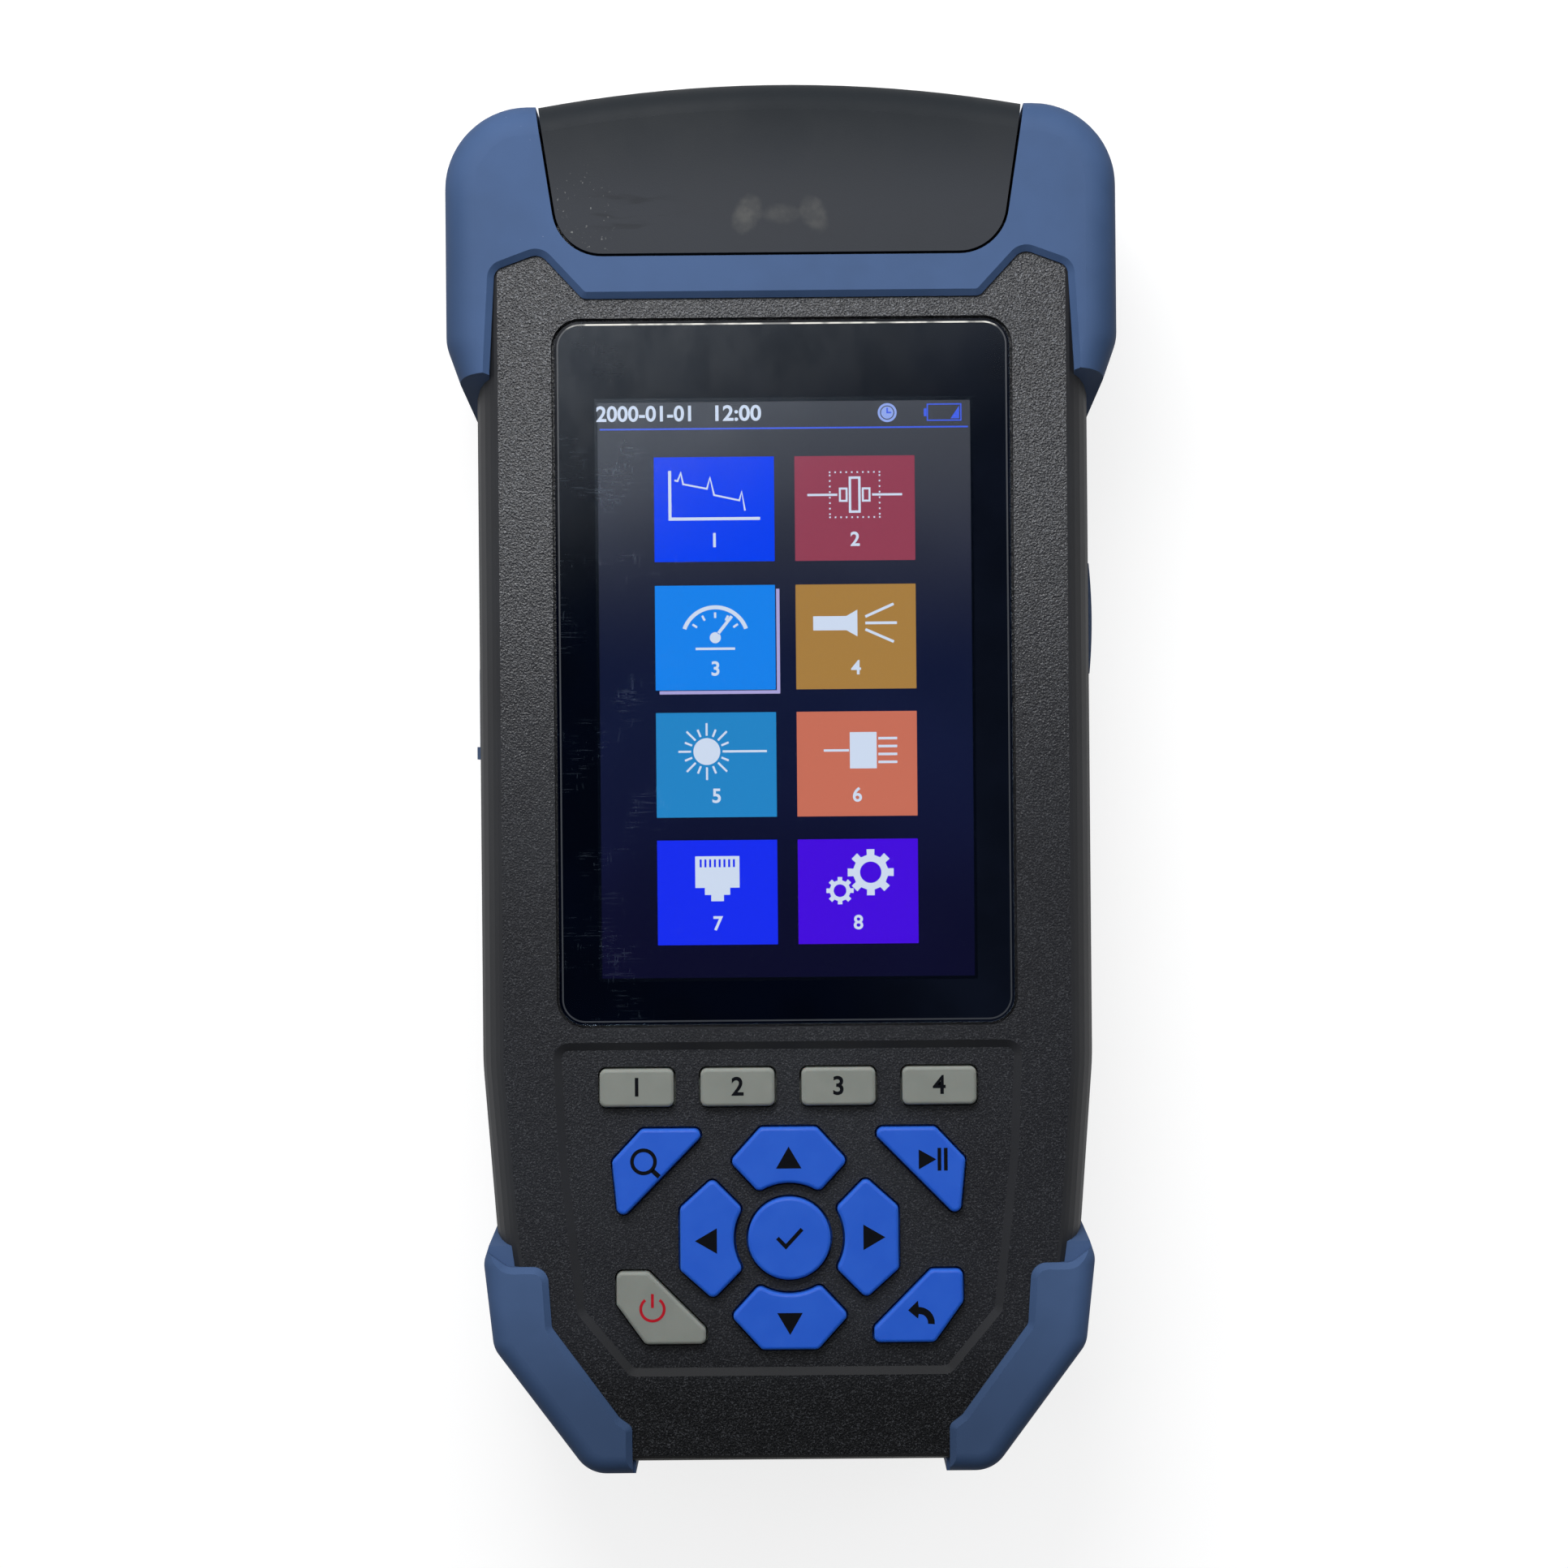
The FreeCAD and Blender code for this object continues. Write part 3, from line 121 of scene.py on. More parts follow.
class Look(Nodes):
    """One node material while it is being made; its places are in millimetres."""

    def __init__(self, name, **plain):
        self.material = bpy.data.materials.new(name)
        self.material.use_nodes = True
        super().__init__(self.material.node_tree)
        self.shader = self.tree.nodes["Principled BSDF"]
        place = self.new("ShaderNodeTexCoord").outputs["Object"]
        self.place = self.stretched(place, (1 / MM, 1 / MM, 1 / MM))
        self.relief = None
        for socket, value in plain.items():
            self.shader.inputs[socket.replace("_", " ")].default_value = value

    def stretched(self, place, factors):
        node = self.new("ShaderNodeVectorMath", operation="MULTIPLY")
        self.feed(node.inputs[0], place)
        self.feed(node.inputs[1], factors)
        return node.outputs["Vector"]

    def component(self, vector, letter):
        node = self.new("ShaderNodeSeparateXYZ")
        self.feed(node.inputs[0], vector)
        return node.outputs[letter]

    def axis(self, letter):
        """The place along one axis."""
        return self.component(self.place, letter)

    def facing(self):
        """How squarely the surface faces up, from -1 to 1."""
        return self.component(self.new("ShaderNodeNewGeometry").outputs["True Normal"], "Z")

    def noise(self, scale, detail=3.0, rough=0.5, stretch=(1, 1, 1)):
        """Noise with that many features per millimetre."""
        node = self.new("ShaderNodeTexNoise")
        self.feed(node.inputs["Vector"], self.stretched(self.place, stretch))
        node.inputs["Scale"].default_value = scale
        node.inputs["Detail"].default_value = detail
        node.inputs["Roughness"].default_value = rough
        return node.outputs["Fac"]

    def spread(self, noise, to=(0.0, 1.0)):
        """Noise, which mostly stays between 0.3 and 0.7, spread over a whole range."""
        return self.span(noise, 0.3, 0.7, to)

    def cells(self, scale, feature="F1"):
        """Distance from the nearest of that many points per millimetre, or from a cell's edge."""
        node = self.new("ShaderNodeTexVoronoi", feature=feature)
        self.feed(node.inputs["Vector"], self.place)
        node.inputs["Scale"].default_value = scale
        return node.outputs["Distance"]

    def spot(self, x, y, wide, high, soft, uneven=0.0, lean=0.0):
        """1 inside an ellipse in the plan, fading to 0 round it; uneven breaks up its outline."""
        dy = self.calc("DIVIDE", self.calc("SUBTRACT", self.axis("Y"), y), high / 2)
        dx = self.calc("DIVIDE", self.calc("SUBTRACT", self.axis("X"), x), wide / 2)
        dx = self.calc("ADD", dx, self.product(dy, lean))
        reach = self.calc("ADD", self.product(dx, dx), self.product(dy, dy))
        ragged = self.product(self.calc("SUBTRACT", self.noise(0.8), 0.5), uneven)
        return self.span(self.calc("ADD", reach, ragged), 1 - soft, 1 + soft, to=(1.0, 0.0))

    def hairlines(self, scale, stretch, rarity):
        """1 on short fine lines that run along the axis with the smallest stretch, in patches."""
        noise = self.noise(scale, detail=1.0, stretch=stretch)
        lines = self.span(noise, rarity, rarity + 0.03)
        patches = self.span(self.noise(0.12, detail=2.0), 0.45, 0.62)
        return self.product(lines, patches)

    def mix(self, share, first, second):
        """The first colour at share 0, the second at share 1."""
        node = self.new("ShaderNodeMix", data_type="RGBA")
        self.feed(node.inputs["Factor"], share)
        first_colour, second_colour = node.inputs[MIX_COLOURS]
        self.feed(first_colour, first)
        self.feed(second_colour, second)
        return node.outputs[MIX_RESULT]

    def colour(self, value):
        self.feed(self.shader.inputs["Base Color"], value)

    def rough(self, value):
        self.feed(self.shader.inputs["Roughness"], value)

    def glow(self, colour, strength):
        self.feed(self.shader.inputs["Emission Color"], colour)
        self.feed(self.shader.inputs["Emission Strength"], strength)

    def bump(self, height, depth):
        """Adds relief of that depth in millimetres to what is there."""
        node = self.new("ShaderNodeBump")
        node.inputs["Distance"].default_value = depth * MM
        self.feed(node.inputs["Height"], height)
        if self.relief is not None:
            self.feed(node.inputs["Normal"], self.relief)
        self.relief = node.outputs["Normal"]
        self.feed(self.shader.inputs["Normal"], self.relief)


# ---- Case ----------------------------------------------------------------------------------------
FLAT_FACING = (0.97, 0.995)    # facings at which a surface starts and is sure to count as flat
GRAIN_Y = (-15.0, 62.0)        # where the case's grain and its painted glints are faintest and where they are keenest
FOOT_SHADE_Y = (-80.0, -66.0)        # where the case's painted shade is darkest towards the foot and where it ends
SIDE_ROUGH = 0.74
FLAT_ROUGH = 0.29


def case_plastic():
    """Charcoal moulded plastic: grain on the flats, keenest near the head, with painted glints on
    its crests; matt sides; painted shade towards the foot.
    """
    look = Look("case_plastic", Specular_IOR_Level=0.52)
    flat = look.span(look.calc("ABSOLUTE", look.facing()), *FLAT_FACING)
    drift = look.span(look.noise(0.035, rough=0.6), 0.3, 0.72)
    base = look.mix(drift, tint(23, 24, 29), tint(30, 32, 37))
    # Painted shade: the base turns near-black towards the foot.
    base = look.mix(look.span(look.axis("Y"), *FOOT_SHADE_Y), tint(2, 3, 6), base)
    keen = look.product(look.span(look.axis("Y"), *GRAIN_Y, to=(0.3, 1.0)), flat)
    pebbles = look.cells(4.2, "SMOOTH_F1")
    pores = look.noise(5.5, detail=2.0, rough=0.6)
    # Painted highlight: pale glints on the grain's crests, keenest near the head.
    grain_glints = look.product(look.span(pores, 0.54, 0.68), keen, 0.5)
    look.colour(look.mix(grain_glints, base, tint(142, 145, 152)))
    look.rough(look.span(flat, 0.0, 1.0, to=(SIDE_ROUGH, FLAT_ROUGH)))
    look.bump(look.product(look.calc("ADD", pebbles, pores), keen), depth=0.085)
    look.bump(look.noise(6.0, detail=2.0), depth=0.004)
    return look.material


RUBBER_SHADE_Y = (-84.0, -62.0)       # where the rubber's painted shade is strongest and where it ends
FLANK_SHADE_X = (37.0, 41.5)       # painted shade darkens the flanks outside the first, most past the second
FLANK_SHADE_Y = (50.0, 80.0)       # and less from the first up, till nothing at the second


def bumper_rubber():
    """Slate-blue matt rubber with painted shade at its foot and on its outer flanks, and light dust
    specks.
    """
    look = Look("bumper_rubber", Specular_IOR_Level=0.35)
    drift = look.noise(0.05, detail=4.0, rough=0.6)
    base = look.mix(look.spread(drift), tint(56, 81, 120), tint(66, 91, 132))
    # Painted shade: the rubber darkens towards its foot.
    foot_shade = look.span(look.axis("Y"), *RUBBER_SHADE_Y, to=(0.55, 0.0))
    # Painted shade on the outer flanks, fading out towards the head end.
    outside = look.span(look.calc("ABSOLUTE", look.axis("X")), *FLANK_SHADE_X)
    flank_shade = look.product(outside, look.span(look.axis("Y"), *FLANK_SHADE_Y, to=(0.5, 0.0)))
    # Both painted shades take the rubber towards a dark slate blue.
    base = look.mix(look.calc("MAXIMUM", foot_shade, flank_shade), base, tint(30, 50, 78))
    specks = look.span(look.cells(0.55), 0.0, 0.05, to=(1.0, 0.0))
    dusty = look.span(look.noise(0.09, detail=2.0), 0.48, 0.6)
    look.colour(look.mix(look.product(specks, dusty, 0.45), base, tint(170, 180, 200)))
    look.rough(look.spread(drift, to=(0.68, 0.78)))
    look.bump(look.noise(5.0, rough=0.6), depth=0.008)
    return look.material


# Pale rubbed patches of the dust cover, side by side, as (x, width, height, lean, strength).
RUBBED = [(-4.2, 3.0, 3.9, -0.3, 0.15), (0.2, 4.0, 2.1, 0.0, 0.08), (4.2, 2.8, 3.7, 0.3, 0.12)]
RUBBED_Y = 70.9
COVER_SHADE_Y = (70.0, 87.0)   # the cover darkens from the first to the second
# Places of the marks near its lower left corner, as (x, y, width, height).
SMEAR = (-19.0, 71.5, 12.0, 5.0)
SPECKS = (-25.0, 70.5, 7.0, 11.0)


def cover_plastic():
    """Soft-touch charcoal of the dust cover, with three rubbed patches, a smear and specks."""
    look = Look("cover_plastic", Specular_IOR_Level=0.25)
    drift = look.noise(0.05, detail=4.0, rough=0.65)
    base = look.mix(look.spread(drift), tint(44, 47, 53), tint(51, 54, 60))
    base = look.mix(look.span(look.axis("Y"), *COVER_SHADE_Y), base, tint(24, 29, 34))
    cloud = look.spread(look.noise(0.7, detail=2.0), to=(0.5, 1.0))
    for x, wide, high, lean, strength in RUBBED:
        patch = look.spot(x, RUBBED_Y, wide, high, soft=1.0, uneven=1.4, lean=lean)
        base = look.mix(look.product(patch, strength, cloud), base, tint(158, 156, 146))
    streaks = look.noise(0.5, detail=2.0, stretch=(0.3, 1.6, 1.0))
    smear = look.product(look.span(streaks, 0.5, 0.64), look.spot(*SMEAR, soft=0.8), 0.35)
    base = look.mix(smear, base, tint(24, 26, 29))
    dots = look.span(look.noise(2.2, detail=2.0, rough=0.6), 0.66, 0.72)
    specks = look.product(dots, look.spot(*SPECKS, soft=0.9), 0.5)
    look.colour(look.mix(specks, base, tint(150, 152, 150)))
    look.rough(look.spread(drift, to=(0.62, 0.72)))
    look.bump(look.noise(5.0, rough=0.6), depth=0.012)
    return look.material


# ---- Display -------------------------------------------------------------------------------------
SCREEN_X = (-23.4, 23.8)       # sides of the lit area
SCREEN_Y = (-25.25, 47.65)     # its foot and its top
SCREEN_EDGE = 0.05             # width over which it goes dark
DOT = 0.153                    # pitch of the display's own points
LENS_CORNER = 3.3
LENS_BEVEL = 0.35
GLINT_WIDTH = 0.2                # width of the lens's painted edge highlight as seen from above
GLINT_Y = (56.6, 57.1)          # where that highlight turns bright
VEIL_TURN = 24.0               # degrees that the edge of the painted reflection's pale veil leans from the lens's top edge
VEIL_REACH = (28.0, 66.0)      # how far towards the upper left the veil starts and is full
VEIL_SHARE = 0.032             # how opaque the veil is there
SCRATCHED_X = (-26.0, -4.0)    # where the scratches are strongest and where they have faded
LENS_ROUGH = 0.06
SCRATCH_ROUGH = 0.3


def lens_acrylic():
    """Clear acrylic with a painted reflection as a pale veil at its upper left corner, and
    scratched by hairlines on the left.
    """
    look = Look("lens_acrylic", Base_Color=(0.94, 0.97, 1.0, 1), IOR=1.49,
                Specular_Tint=(0.6, 0.78, 1.0, 1))
    # Painted reflection: a thin pale diffuse veil over the upper left corner, in streaks.
    corner = look.span(look.towards(look.place, VEIL_TURN), *VEIL_REACH, to=(0.0, VEIL_SHARE))
    veil_streaks = look.noise(0.25, detail=4.0, rough=0.65, stretch=(1.0, 0.6, 1.0))
    veil = look.product(corner, look.spread(veil_streaks, to=(0.7, 1.3)))
    look.feed(look.shader.inputs["Transmission Weight"], look.calc("SUBTRACT", 1.0, veil))
    across = look.hairlines(6.5, stretch=(0.05, 1.0, 1.0), rarity=0.64)
    slanted = look.hairlines(5.0, stretch=(0.5, 0.09, 1.0), rarity=0.67)
    left = look.span(look.axis("X"), *SCRATCHED_X, to=(1.0, 0.18))
    marks = look.product(look.calc("MAXIMUM", across, slanted), left)
    look.rough(look.span(marks, 0.0, 1.0, to=(LENS_ROUGH, SCRATCH_ROUGH)))
    return look.material


NAVY_GLOW = (0, 2, 12)             # faint navy glow of the black round the lit area, a painted reflection
NAVY_X = (2.0, 25.0)           # the tape glows more from the first to the second


def lens_tape():
    """Black tape with a faint painted navy glow, a little more at its right side, standing in for
    the navy that the acrylic reflects.
    """
    look = Look("lens_tape", Base_Color=BLACK, Roughness=0.7, Specular_IOR_Level=0.0)
    # Painted reflection: the tape glows faint navy, though it is no lamp.
    tape_glow = look.mix(look.span(look.axis("X"), *NAVY_X), tint(*NAVY_GLOW), tint(9, 13, 24))
    look.glow(tape_glow, look.spread(look.noise(0.1), to=(0.8, 1.2)))
    return look.material


def lens_rim():
    """Painted highlight on the edge of the acrylic: dull grey, and bright along the head end."""
    look = Look("lens_rim", Roughness=0.35)
    # Painted highlight: its bright part comes and goes in patches along the head end.
    rubbed = look.span(look.noise(0.45), 0.36, 0.56, to=(0.25, 1.0))
    head_glint = look.product(look.span(look.axis("Y"), *GLINT_Y), rubbed)
    look.colour(look.mix(head_glint, tint(46, 50, 57), tint(222, 220, 212)))
    return look.material


LOWER_Y = (SCREEN_Y[0], 14.0)  # the screen's navy pales from the first to the second
UPPER_Y = (12.0, SCREEN_Y[1])  # and turns grey from the first to the second, partly backlight and partly a painted reflection


def display_glass():
    """Lit display: grey at its top, fading to near-black navy at its foot, and dark round it."""
    look = Look("display_glass", Base_Color=BLACK, Roughness=0.6, Specular_IOR_Level=0.0)
    inside = 1.0
    for letter, (low, high) in (("X", SCREEN_X), ("Y", SCREEN_Y)):
        place = look.axis(letter)
        inside = look.product(inside, look.span(place, low, low + SCREEN_EDGE),
                              look.span(place, high - SCREEN_EDGE, high, to=(1.0, 0.0)))
    height = look.axis("Y")
    lower = look.mix(look.span(height, *LOWER_Y), tint(11, 10, 43), tint(17, 24, 56))
    # The grey towards the top is partly backlight and partly a painted reflection in the glow.
    lit_area = look.mix(look.span(height, *UPPER_Y), lower, tint(64, 66, 73))
    cloud = look.span(look.noise(0.03, detail=2.0), 0.35, 0.65, to=(0.85, 1.1))
    # Round the lit area the glass glows the same painted navy.
    look.glow(look.mix(inside, tint(*NAVY_GLOW), lit_area), cloud)
    return look.material


def lit(name, colour, weave):
    """Lit points of the display, in one colour with a faint woven pattern."""
    look = Look(name, Base_Color=BLACK, Roughness=0.6, Specular_IOR_Level=0.0)
    rows = look.calc("SINE", look.product(look.axis("Y"), math.pi / DOT))
    columns = look.calc("SINE", look.product(look.axis("X"), math.pi / DOT))
    look.glow(tint(*colour), look.calc("ADD", look.product(rows, columns, weave), 1.0))
    return look.material


# ---- Rubber, plastic, metal and ink --------------------------------------------------------------
def key_silicone(name, colour, pale):
    """Moulded silicone: a painted highlight makes the rounded rim of the cap a little paler than
    its top and its sides.
    """
    look = Look(name, Subsurface_Weight=0.08, Subsurface_Scale=0.6 * MM, Specular_IOR_Level=0.35)
    # Painted highlight on the cap's rounded rim, by how squarely it faces up.
    rim = look.product(look.span(look.facing(), 0.55, 0.97, to=(0.6, 0.0)),
                       look.span(look.facing(), 0.02, 0.25))
    drift = look.spread(look.noise(0.25), to=(0.0, 0.12))
    look.colour(look.mix(look.calc("MAXIMUM", rim, drift), tint(*colour), tint(*pale)))
    look.rough(look.spread(look.noise(1.5, detail=2.0), to=(0.48, 0.58)))
    look.bump(look.noise(7.0, detail=2.0), depth=0.004)
    return look.material


def moulded(name, dark, pale, roughness):
    """Moulded plastic or rubber: slight colour drift and an even fine texture."""
    look = Look(name)
    drift = look.noise(0.06, detail=2.0)
    fine = look.noise(2.5, detail=2.0, rough=0.6)
    look.colour(look.mix(look.spread(drift), tint(*dark), tint(*pale)))
    look.rough(look.span(fine, 0.2, 0.8, to=(roughness - 0.08, roughness + 0.08)))
    look.bump(fine, depth=0.01)
    return look.material


def metal(name, colour, roughness=0.3, brushed=(1, 1, 1)):
    """Metal with faint machining or handling marks, a tenth darker than the rest."""
    look = Look(name, Metallic=1.0)
    marks = look.noise(3.0, rough=0.6, stretch=brushed)
    look.colour(look.mix(look.spread(marks), tint(*colour), tint(*(c * 0.9 for c in colour))))
    look.rough(look.spread(marks, to=(roughness - 0.04, roughness + 0.04)))
    look.bump(marks, depth=0.0004)
    return look.material


def clear_lens():
    """Clear plastic, slightly hazy in places."""
    look = Look("clear_lens", Base_Color=WHITE, Transmission_Weight=1.0, IOR=1.49)
    look.rough(look.spread(look.noise(2.0), to=(0.02, 0.08)))
    return look.material


def zirconia():
    """Off-white polished ceramic."""
    look = Look("zirconia", Subsurface_Weight=0.05, Subsurface_Scale=0.3 * MM)
    look.colour(look.mix(look.noise(1.0), tint(240, 238, 230), tint(228, 226, 216)))
    look.rough(look.spread(look.noise(4.0), to=(0.15, 0.25)))
    return look.material


def circuit_board():
    """Green solder mask over a faint pattern of tracks."""
    look = Look("circuit_board")
    tracks = look.span(look.cells(0.9, "DISTANCE_TO_EDGE"), 0.05, 0.12)
    look.colour(look.mix(tracks, tint(38, 98, 62), tint(24, 74, 48)))
    look.rough(look.spread(look.noise(2.0), to=(0.3, 0.42)))
    look.bump(tracks, depth=0.01)
    return look.material


FIBRE = 0.25                   # diameter of the coated fibre


def wound_fibre():
    """Fine coated fibre wound side by side."""
    look = Look("wound_fibre")
    turns = look.calc("SINE", look.product(look.axis("Z"), 2 * math.pi / FIBRE))
    # Painted shade: the colour darkens in the grooves between turns.
    look.colour(look.mix(look.span(turns, -1.0, 1.0), tint(206, 200, 160), tint(236, 232, 200)))
    look.rough(look.span(turns, -1.0, 1.0, to=(0.35, 0.25)))
    look.bump(turns, depth=0.05)
    return look.material


def printed(name, dark, pale):
    """Matt ink, a little uneven."""
    look = Look(name, Specular_IOR_Level=0.08)
    patches = look.noise(1.5, detail=2.0)
    look.colour(look.mix(look.spread(patches), tint(*dark), tint(*pale)))
    look.rough(look.spread(patches, to=(0.6, 0.75)))
    return look.material


def dress(material, *nodes):
    """Gives CAD nodes one material."""
    for node in nodes:
        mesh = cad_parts[node].data
        mesh.materials.clear()
        mesh.materials.append(material)


def dress_frame():
    """Gives every CAD node its material."""
    dress(case_plastic(), "front_case", "rear_case", "battery_door", "port_panel")
    dress(bumper_rubber(), "upper_bumper", "lower_right_boot", "lower_left_boot")
    dress(cover_plastic(), "dust_cover")
    dress(lens_acrylic(), "display_lens")
    dress(lens_tape(), "lens_tape")
    dress(display_glass(), "lcd_panel")
    dress(key_silicone("key_blue", (22, 86, 200), (58, 118, 226)), *BLUE_KEYS)
    dress(key_silicone("key_grey", (126, 130, 124), (160, 163, 156)), *GREY_KEYS)
    dress(moulded("port_rubber", (56, 78, 112), (70, 92, 126), roughness=0.6), "rj45_cover",
          "usb_cover")
    dress(metal("steel", (190, 190, 194)), "hinge_pins", "lcd_frame", "dome_switches", "usb_socket",
          "shield_cans", "case_screws", "door_screws", "board_screws", "keypad_screws",
          "adaptor_screws")
    dress(metal("nickel", (205, 200, 190), roughness=0.25, brushed=(1, 0.1, 1)), "otdr_adaptor",
          "opm_adaptor", "vfl_adaptor", "torch_collar", "vfl_laser", "opm_detector")
    dress(metal("module_metal", (178, 180, 184), roughness=0.4), "otdr_module")
    dress(metal("gold", (226, 178, 90), roughness=0.25), "rj45_contacts")
    dress(clear_lens(), "torch_lens")
    dress(zirconia(), "otdr_sleeve")
    dress(circuit_board(), "main_board", "keypad_board")
    dress(wound_fibre(), "launch_fibre")
    dress(moulded("black_plastic", (22, 22, 24), (32, 32, 34), roughness=0.45), "rj45_jack",
          "buzzer", "fibre_spool")
    dress(moulded("mat_silicone", (30, 31, 33), (40, 41, 43), roughness=0.6), "keypad_mat",
          "case_gasket")
    dress(moulded("battery_sleeve", (26, 70, 150), (34, 84, 168), roughness=0.3), "battery_pack")


# ---- Flat marks ----------------------------------------------------------------------------------
DIGIT_SHARE = 0.72             # a digit's height as a share of the type's size
SHARPEST = 0.5                 # limits how far a ribbon's mitre reaches out at a sharp corner
ROUND_STEPS = 48               # sides of a round loop


def settle(name, curve, height, material, body):
    """Turns a curve or text into a mesh at that height, riding on a body."""
    draft = bpy.data.objects.new(name, curve)
    bpy.context.scene.collection.objects.link(draft)
    bpy.context.view_layer.update()
    evaluated = draft.evaluated_get(bpy.context.evaluated_depsgraph_get())
    mesh = bpy.data.meshes.new_from_object(evaluated)
    bpy.data.objects.remove(draft)
    bpy.data.curves.remove(curve)
    for vertex in mesh.vertices:
        vertex.co.z += height * MM
    mesh.materials.clear()
    mesh.materials.append(material)
    piece = bpy.data.objects.new(name, mesh)
    bpy.context.scene.collection.objects.link(piece)
    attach(piece, body)
    return piece


def flat_mark(name, loops, height, material, body="case"):
    """Thin plate from closed loops of (x, y); a loop inside another is a hole."""
    curve = bpy.data.curves.new(name, "CURVE")
    curve.dimensions = "2D"
    curve.fill_mode = "BOTH"
    curve.extrude = DECAL / 2 * MM
    for loop in loops:
        spline = curve.splines.new("POLY")
        spline.points.add(len(loop) - 1)
        spline.use_cyclic_u = True
        for corner, (x, y) in zip(spline.points, loop):
            corner.co = (x * MM, y * MM, 0, 1)
    settle(name, curve, height + DECAL / 2, material, body)


def numeral(name, text, x, y, size, height, material, bold, body="case", wide=None):
    """Plain digits centred on a point; size is a digit's height, wide the width of them all."""
    curve = bpy.data.curves.new(name, "FONT")
    curve.body = text
    curve.size = size / DIGIT_SHARE * MM
    curve.align_x = "CENTER"
    curve.align_y = "CENTER"
    curve.extrude = DECAL / 2 * MM
    curve.offset = bold * MM
    vertices = settle(name, curve, height + DECAL / 2, material, body).data.vertices
    places = [vertex.co.x for vertex in vertices]
    stretch = wide * MM / (max(places) - min(places)) if wide else 1.0
    for vertex in vertices:
        vertex.co.x = vertex.co.x * stretch + x * MM
        vertex.co.y += y * MM


def shifted(points, x, y):
    return [(x + px, y + py) for px, py in points]


def all_shifted(loops, x, y):
    return [shifted(loop, x, y) for loop in loops]


def quarter_turned(points, turns):
    for _ in range(turns):
        points = [(-y, x) for x, y in points]
    return points


def box_loop(x, y, wide, high):
    return shifted([(-wide / 2, -high / 2), (wide / 2, -high / 2), (wide / 2, high / 2),
                    (-wide / 2, high / 2)], x, y)


def round_point(x, y, radius, angle):
    """Point on a circle, at an angle in degrees."""
    return x + radius * math.cos(math.radians(angle)), y + radius * math.sin(math.radians(angle))


def arc(x, y, radius, start, end, steps=24):
    return [round_point(x, y, radius, start + (end - start) * step / steps)
            for step in range(steps + 1)]


def round_loop(x, y, radius):
    return arc(x, y, radius, 0, 360, ROUND_STEPS)[:-1]


def ribbon(points, width):
    """Outline of a stroke of even width along points, mitred at its corners."""
    left = []
    right = []
    for i, (x, y) in enumerate(points):
        before = Vector(points[max(i - 1, 0)])
        after = Vector(points[min(i + 1, len(points) - 1)])
        here = Vector((x, y))
        into = (here - before).normalized() if i > 0 else (after - here).normalized()
        onward = (after - here).normalized() if i < len(points) - 1 else into
        side = Vector((-into.y - onward.y, into.x + onward.x))
        side = side / max(side.length_squared, SHARPEST) * width
        left.append((x + side.x, y + side.y))
        right.append((x - side.x, y - side.y))
    return left + right[::-1]


# Corners of a cog's tooth, as (turn from its middle, reach), where the pitch and the radius are 1.
TOOTH = ((-0.27, 0.76), (-0.216, 1.0), (0.216, 1.0), (0.27, 0.76))
TEETH = 8


def gear_loop(x, y, radius):
    """Outline of a cog with square teeth."""
    return [round_point(x, y, radius * reach, 360 * (tooth + turn) / TEETH)
            for tooth in range(TEETH) for turn, reach in TOOTH]


# ---- Legends on the keys -------------------------------------------------------------------------
SOFT_DIGIT = 2.35              # height of the soft keys' digits
ARROW = [(-1.6, -1.3), (1.6, -1.3), (0.0, 1.45)]
# Arrow keys, as (key, quarter turns, and how far right and up the arrow sits from its middle).
ARROW_KEYS = (("key_up", 0, 0.0, 0.1), ("key_left", 1, -0.5, -0.2), ("key_down", 2, 0.0, -0.6),
              ("key_right", 3, 0.7, 0.1))


def middle(node, right=0.0, up=0.0):
    """Middle of a node in the plan, or a point that far from it."""
    low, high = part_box(node)
    return (low.x + high.x) / 2 / MM + right, (low.y + high.y) / 2 / MM + up


def key_mark(name, loops, key, material):
    """Printed mark on the top of a key."""
    flat_mark("legend_" + name, loops, KEY_TOP, material, key)


def zoom_legend(ink):
    """A magnifying glass."""
    x, y = middle("key_zoom", right=-1.6, up=1.3)
    key_mark("zoom", [round_loop(x, y, 1.68), round_loop(x, y, 1.22)], "key_zoom", ink)
    handle = ribbon([(x + 1.1, y - 1.1), (x + 1.95, y - 1.9)], width=0.58)
    key_mark("zoom_handle", [handle], "key_zoom", ink)


def run_stop_legend(ink):
    """A triangle and two bars."""
    x, y = middle("key_run_stop", right=1.6, up=1.3)
    triangle = [(x - 1.9, y - 1.25), (x - 1.9, y + 1.25), (x + 0.3, y)]
    key_mark("run", [triangle], "key_run_stop", ink)
    bars = [box_loop(x + offset, y, 0.46, 2.85) for offset in (0.7, 1.5)]
    key_mark("stop", bars, "key_run_stop", ink)


def back_legend(ink):
    """An arrow that points left, its stem bent down at the right."""
    x, y = middle("key_back", right=0.4, up=-0.6)
    outside = arc(x - 0.4, y - 1.5, 2.0, -5, 90, 12)
    head = shifted([(-0.5, 1.3), (-1.75, 0.1), (-0.5, -0.95), (-0.4, -0.35)], x, y)
    inside = arc(x - 0.4, y - 1.5, 1.15, 62, -5, 12)
    key_mark("back", [outside + head + inside], "key_back", ink)


def power_legend(ink):
    """An open ring with a bar in its gap."""
    x, y = middle("key_power", right=-1.1, up=-0.1)
    start, end, steps = 128, 412, 40
    ring = arc(x, y, 1.65, start, end, steps) + arc(x, y, 1.3, end, start, steps)
    key_mark("power", [ring, box_loop(x, y + 1.05, 0.36, 1.75)], "key_power", ink)


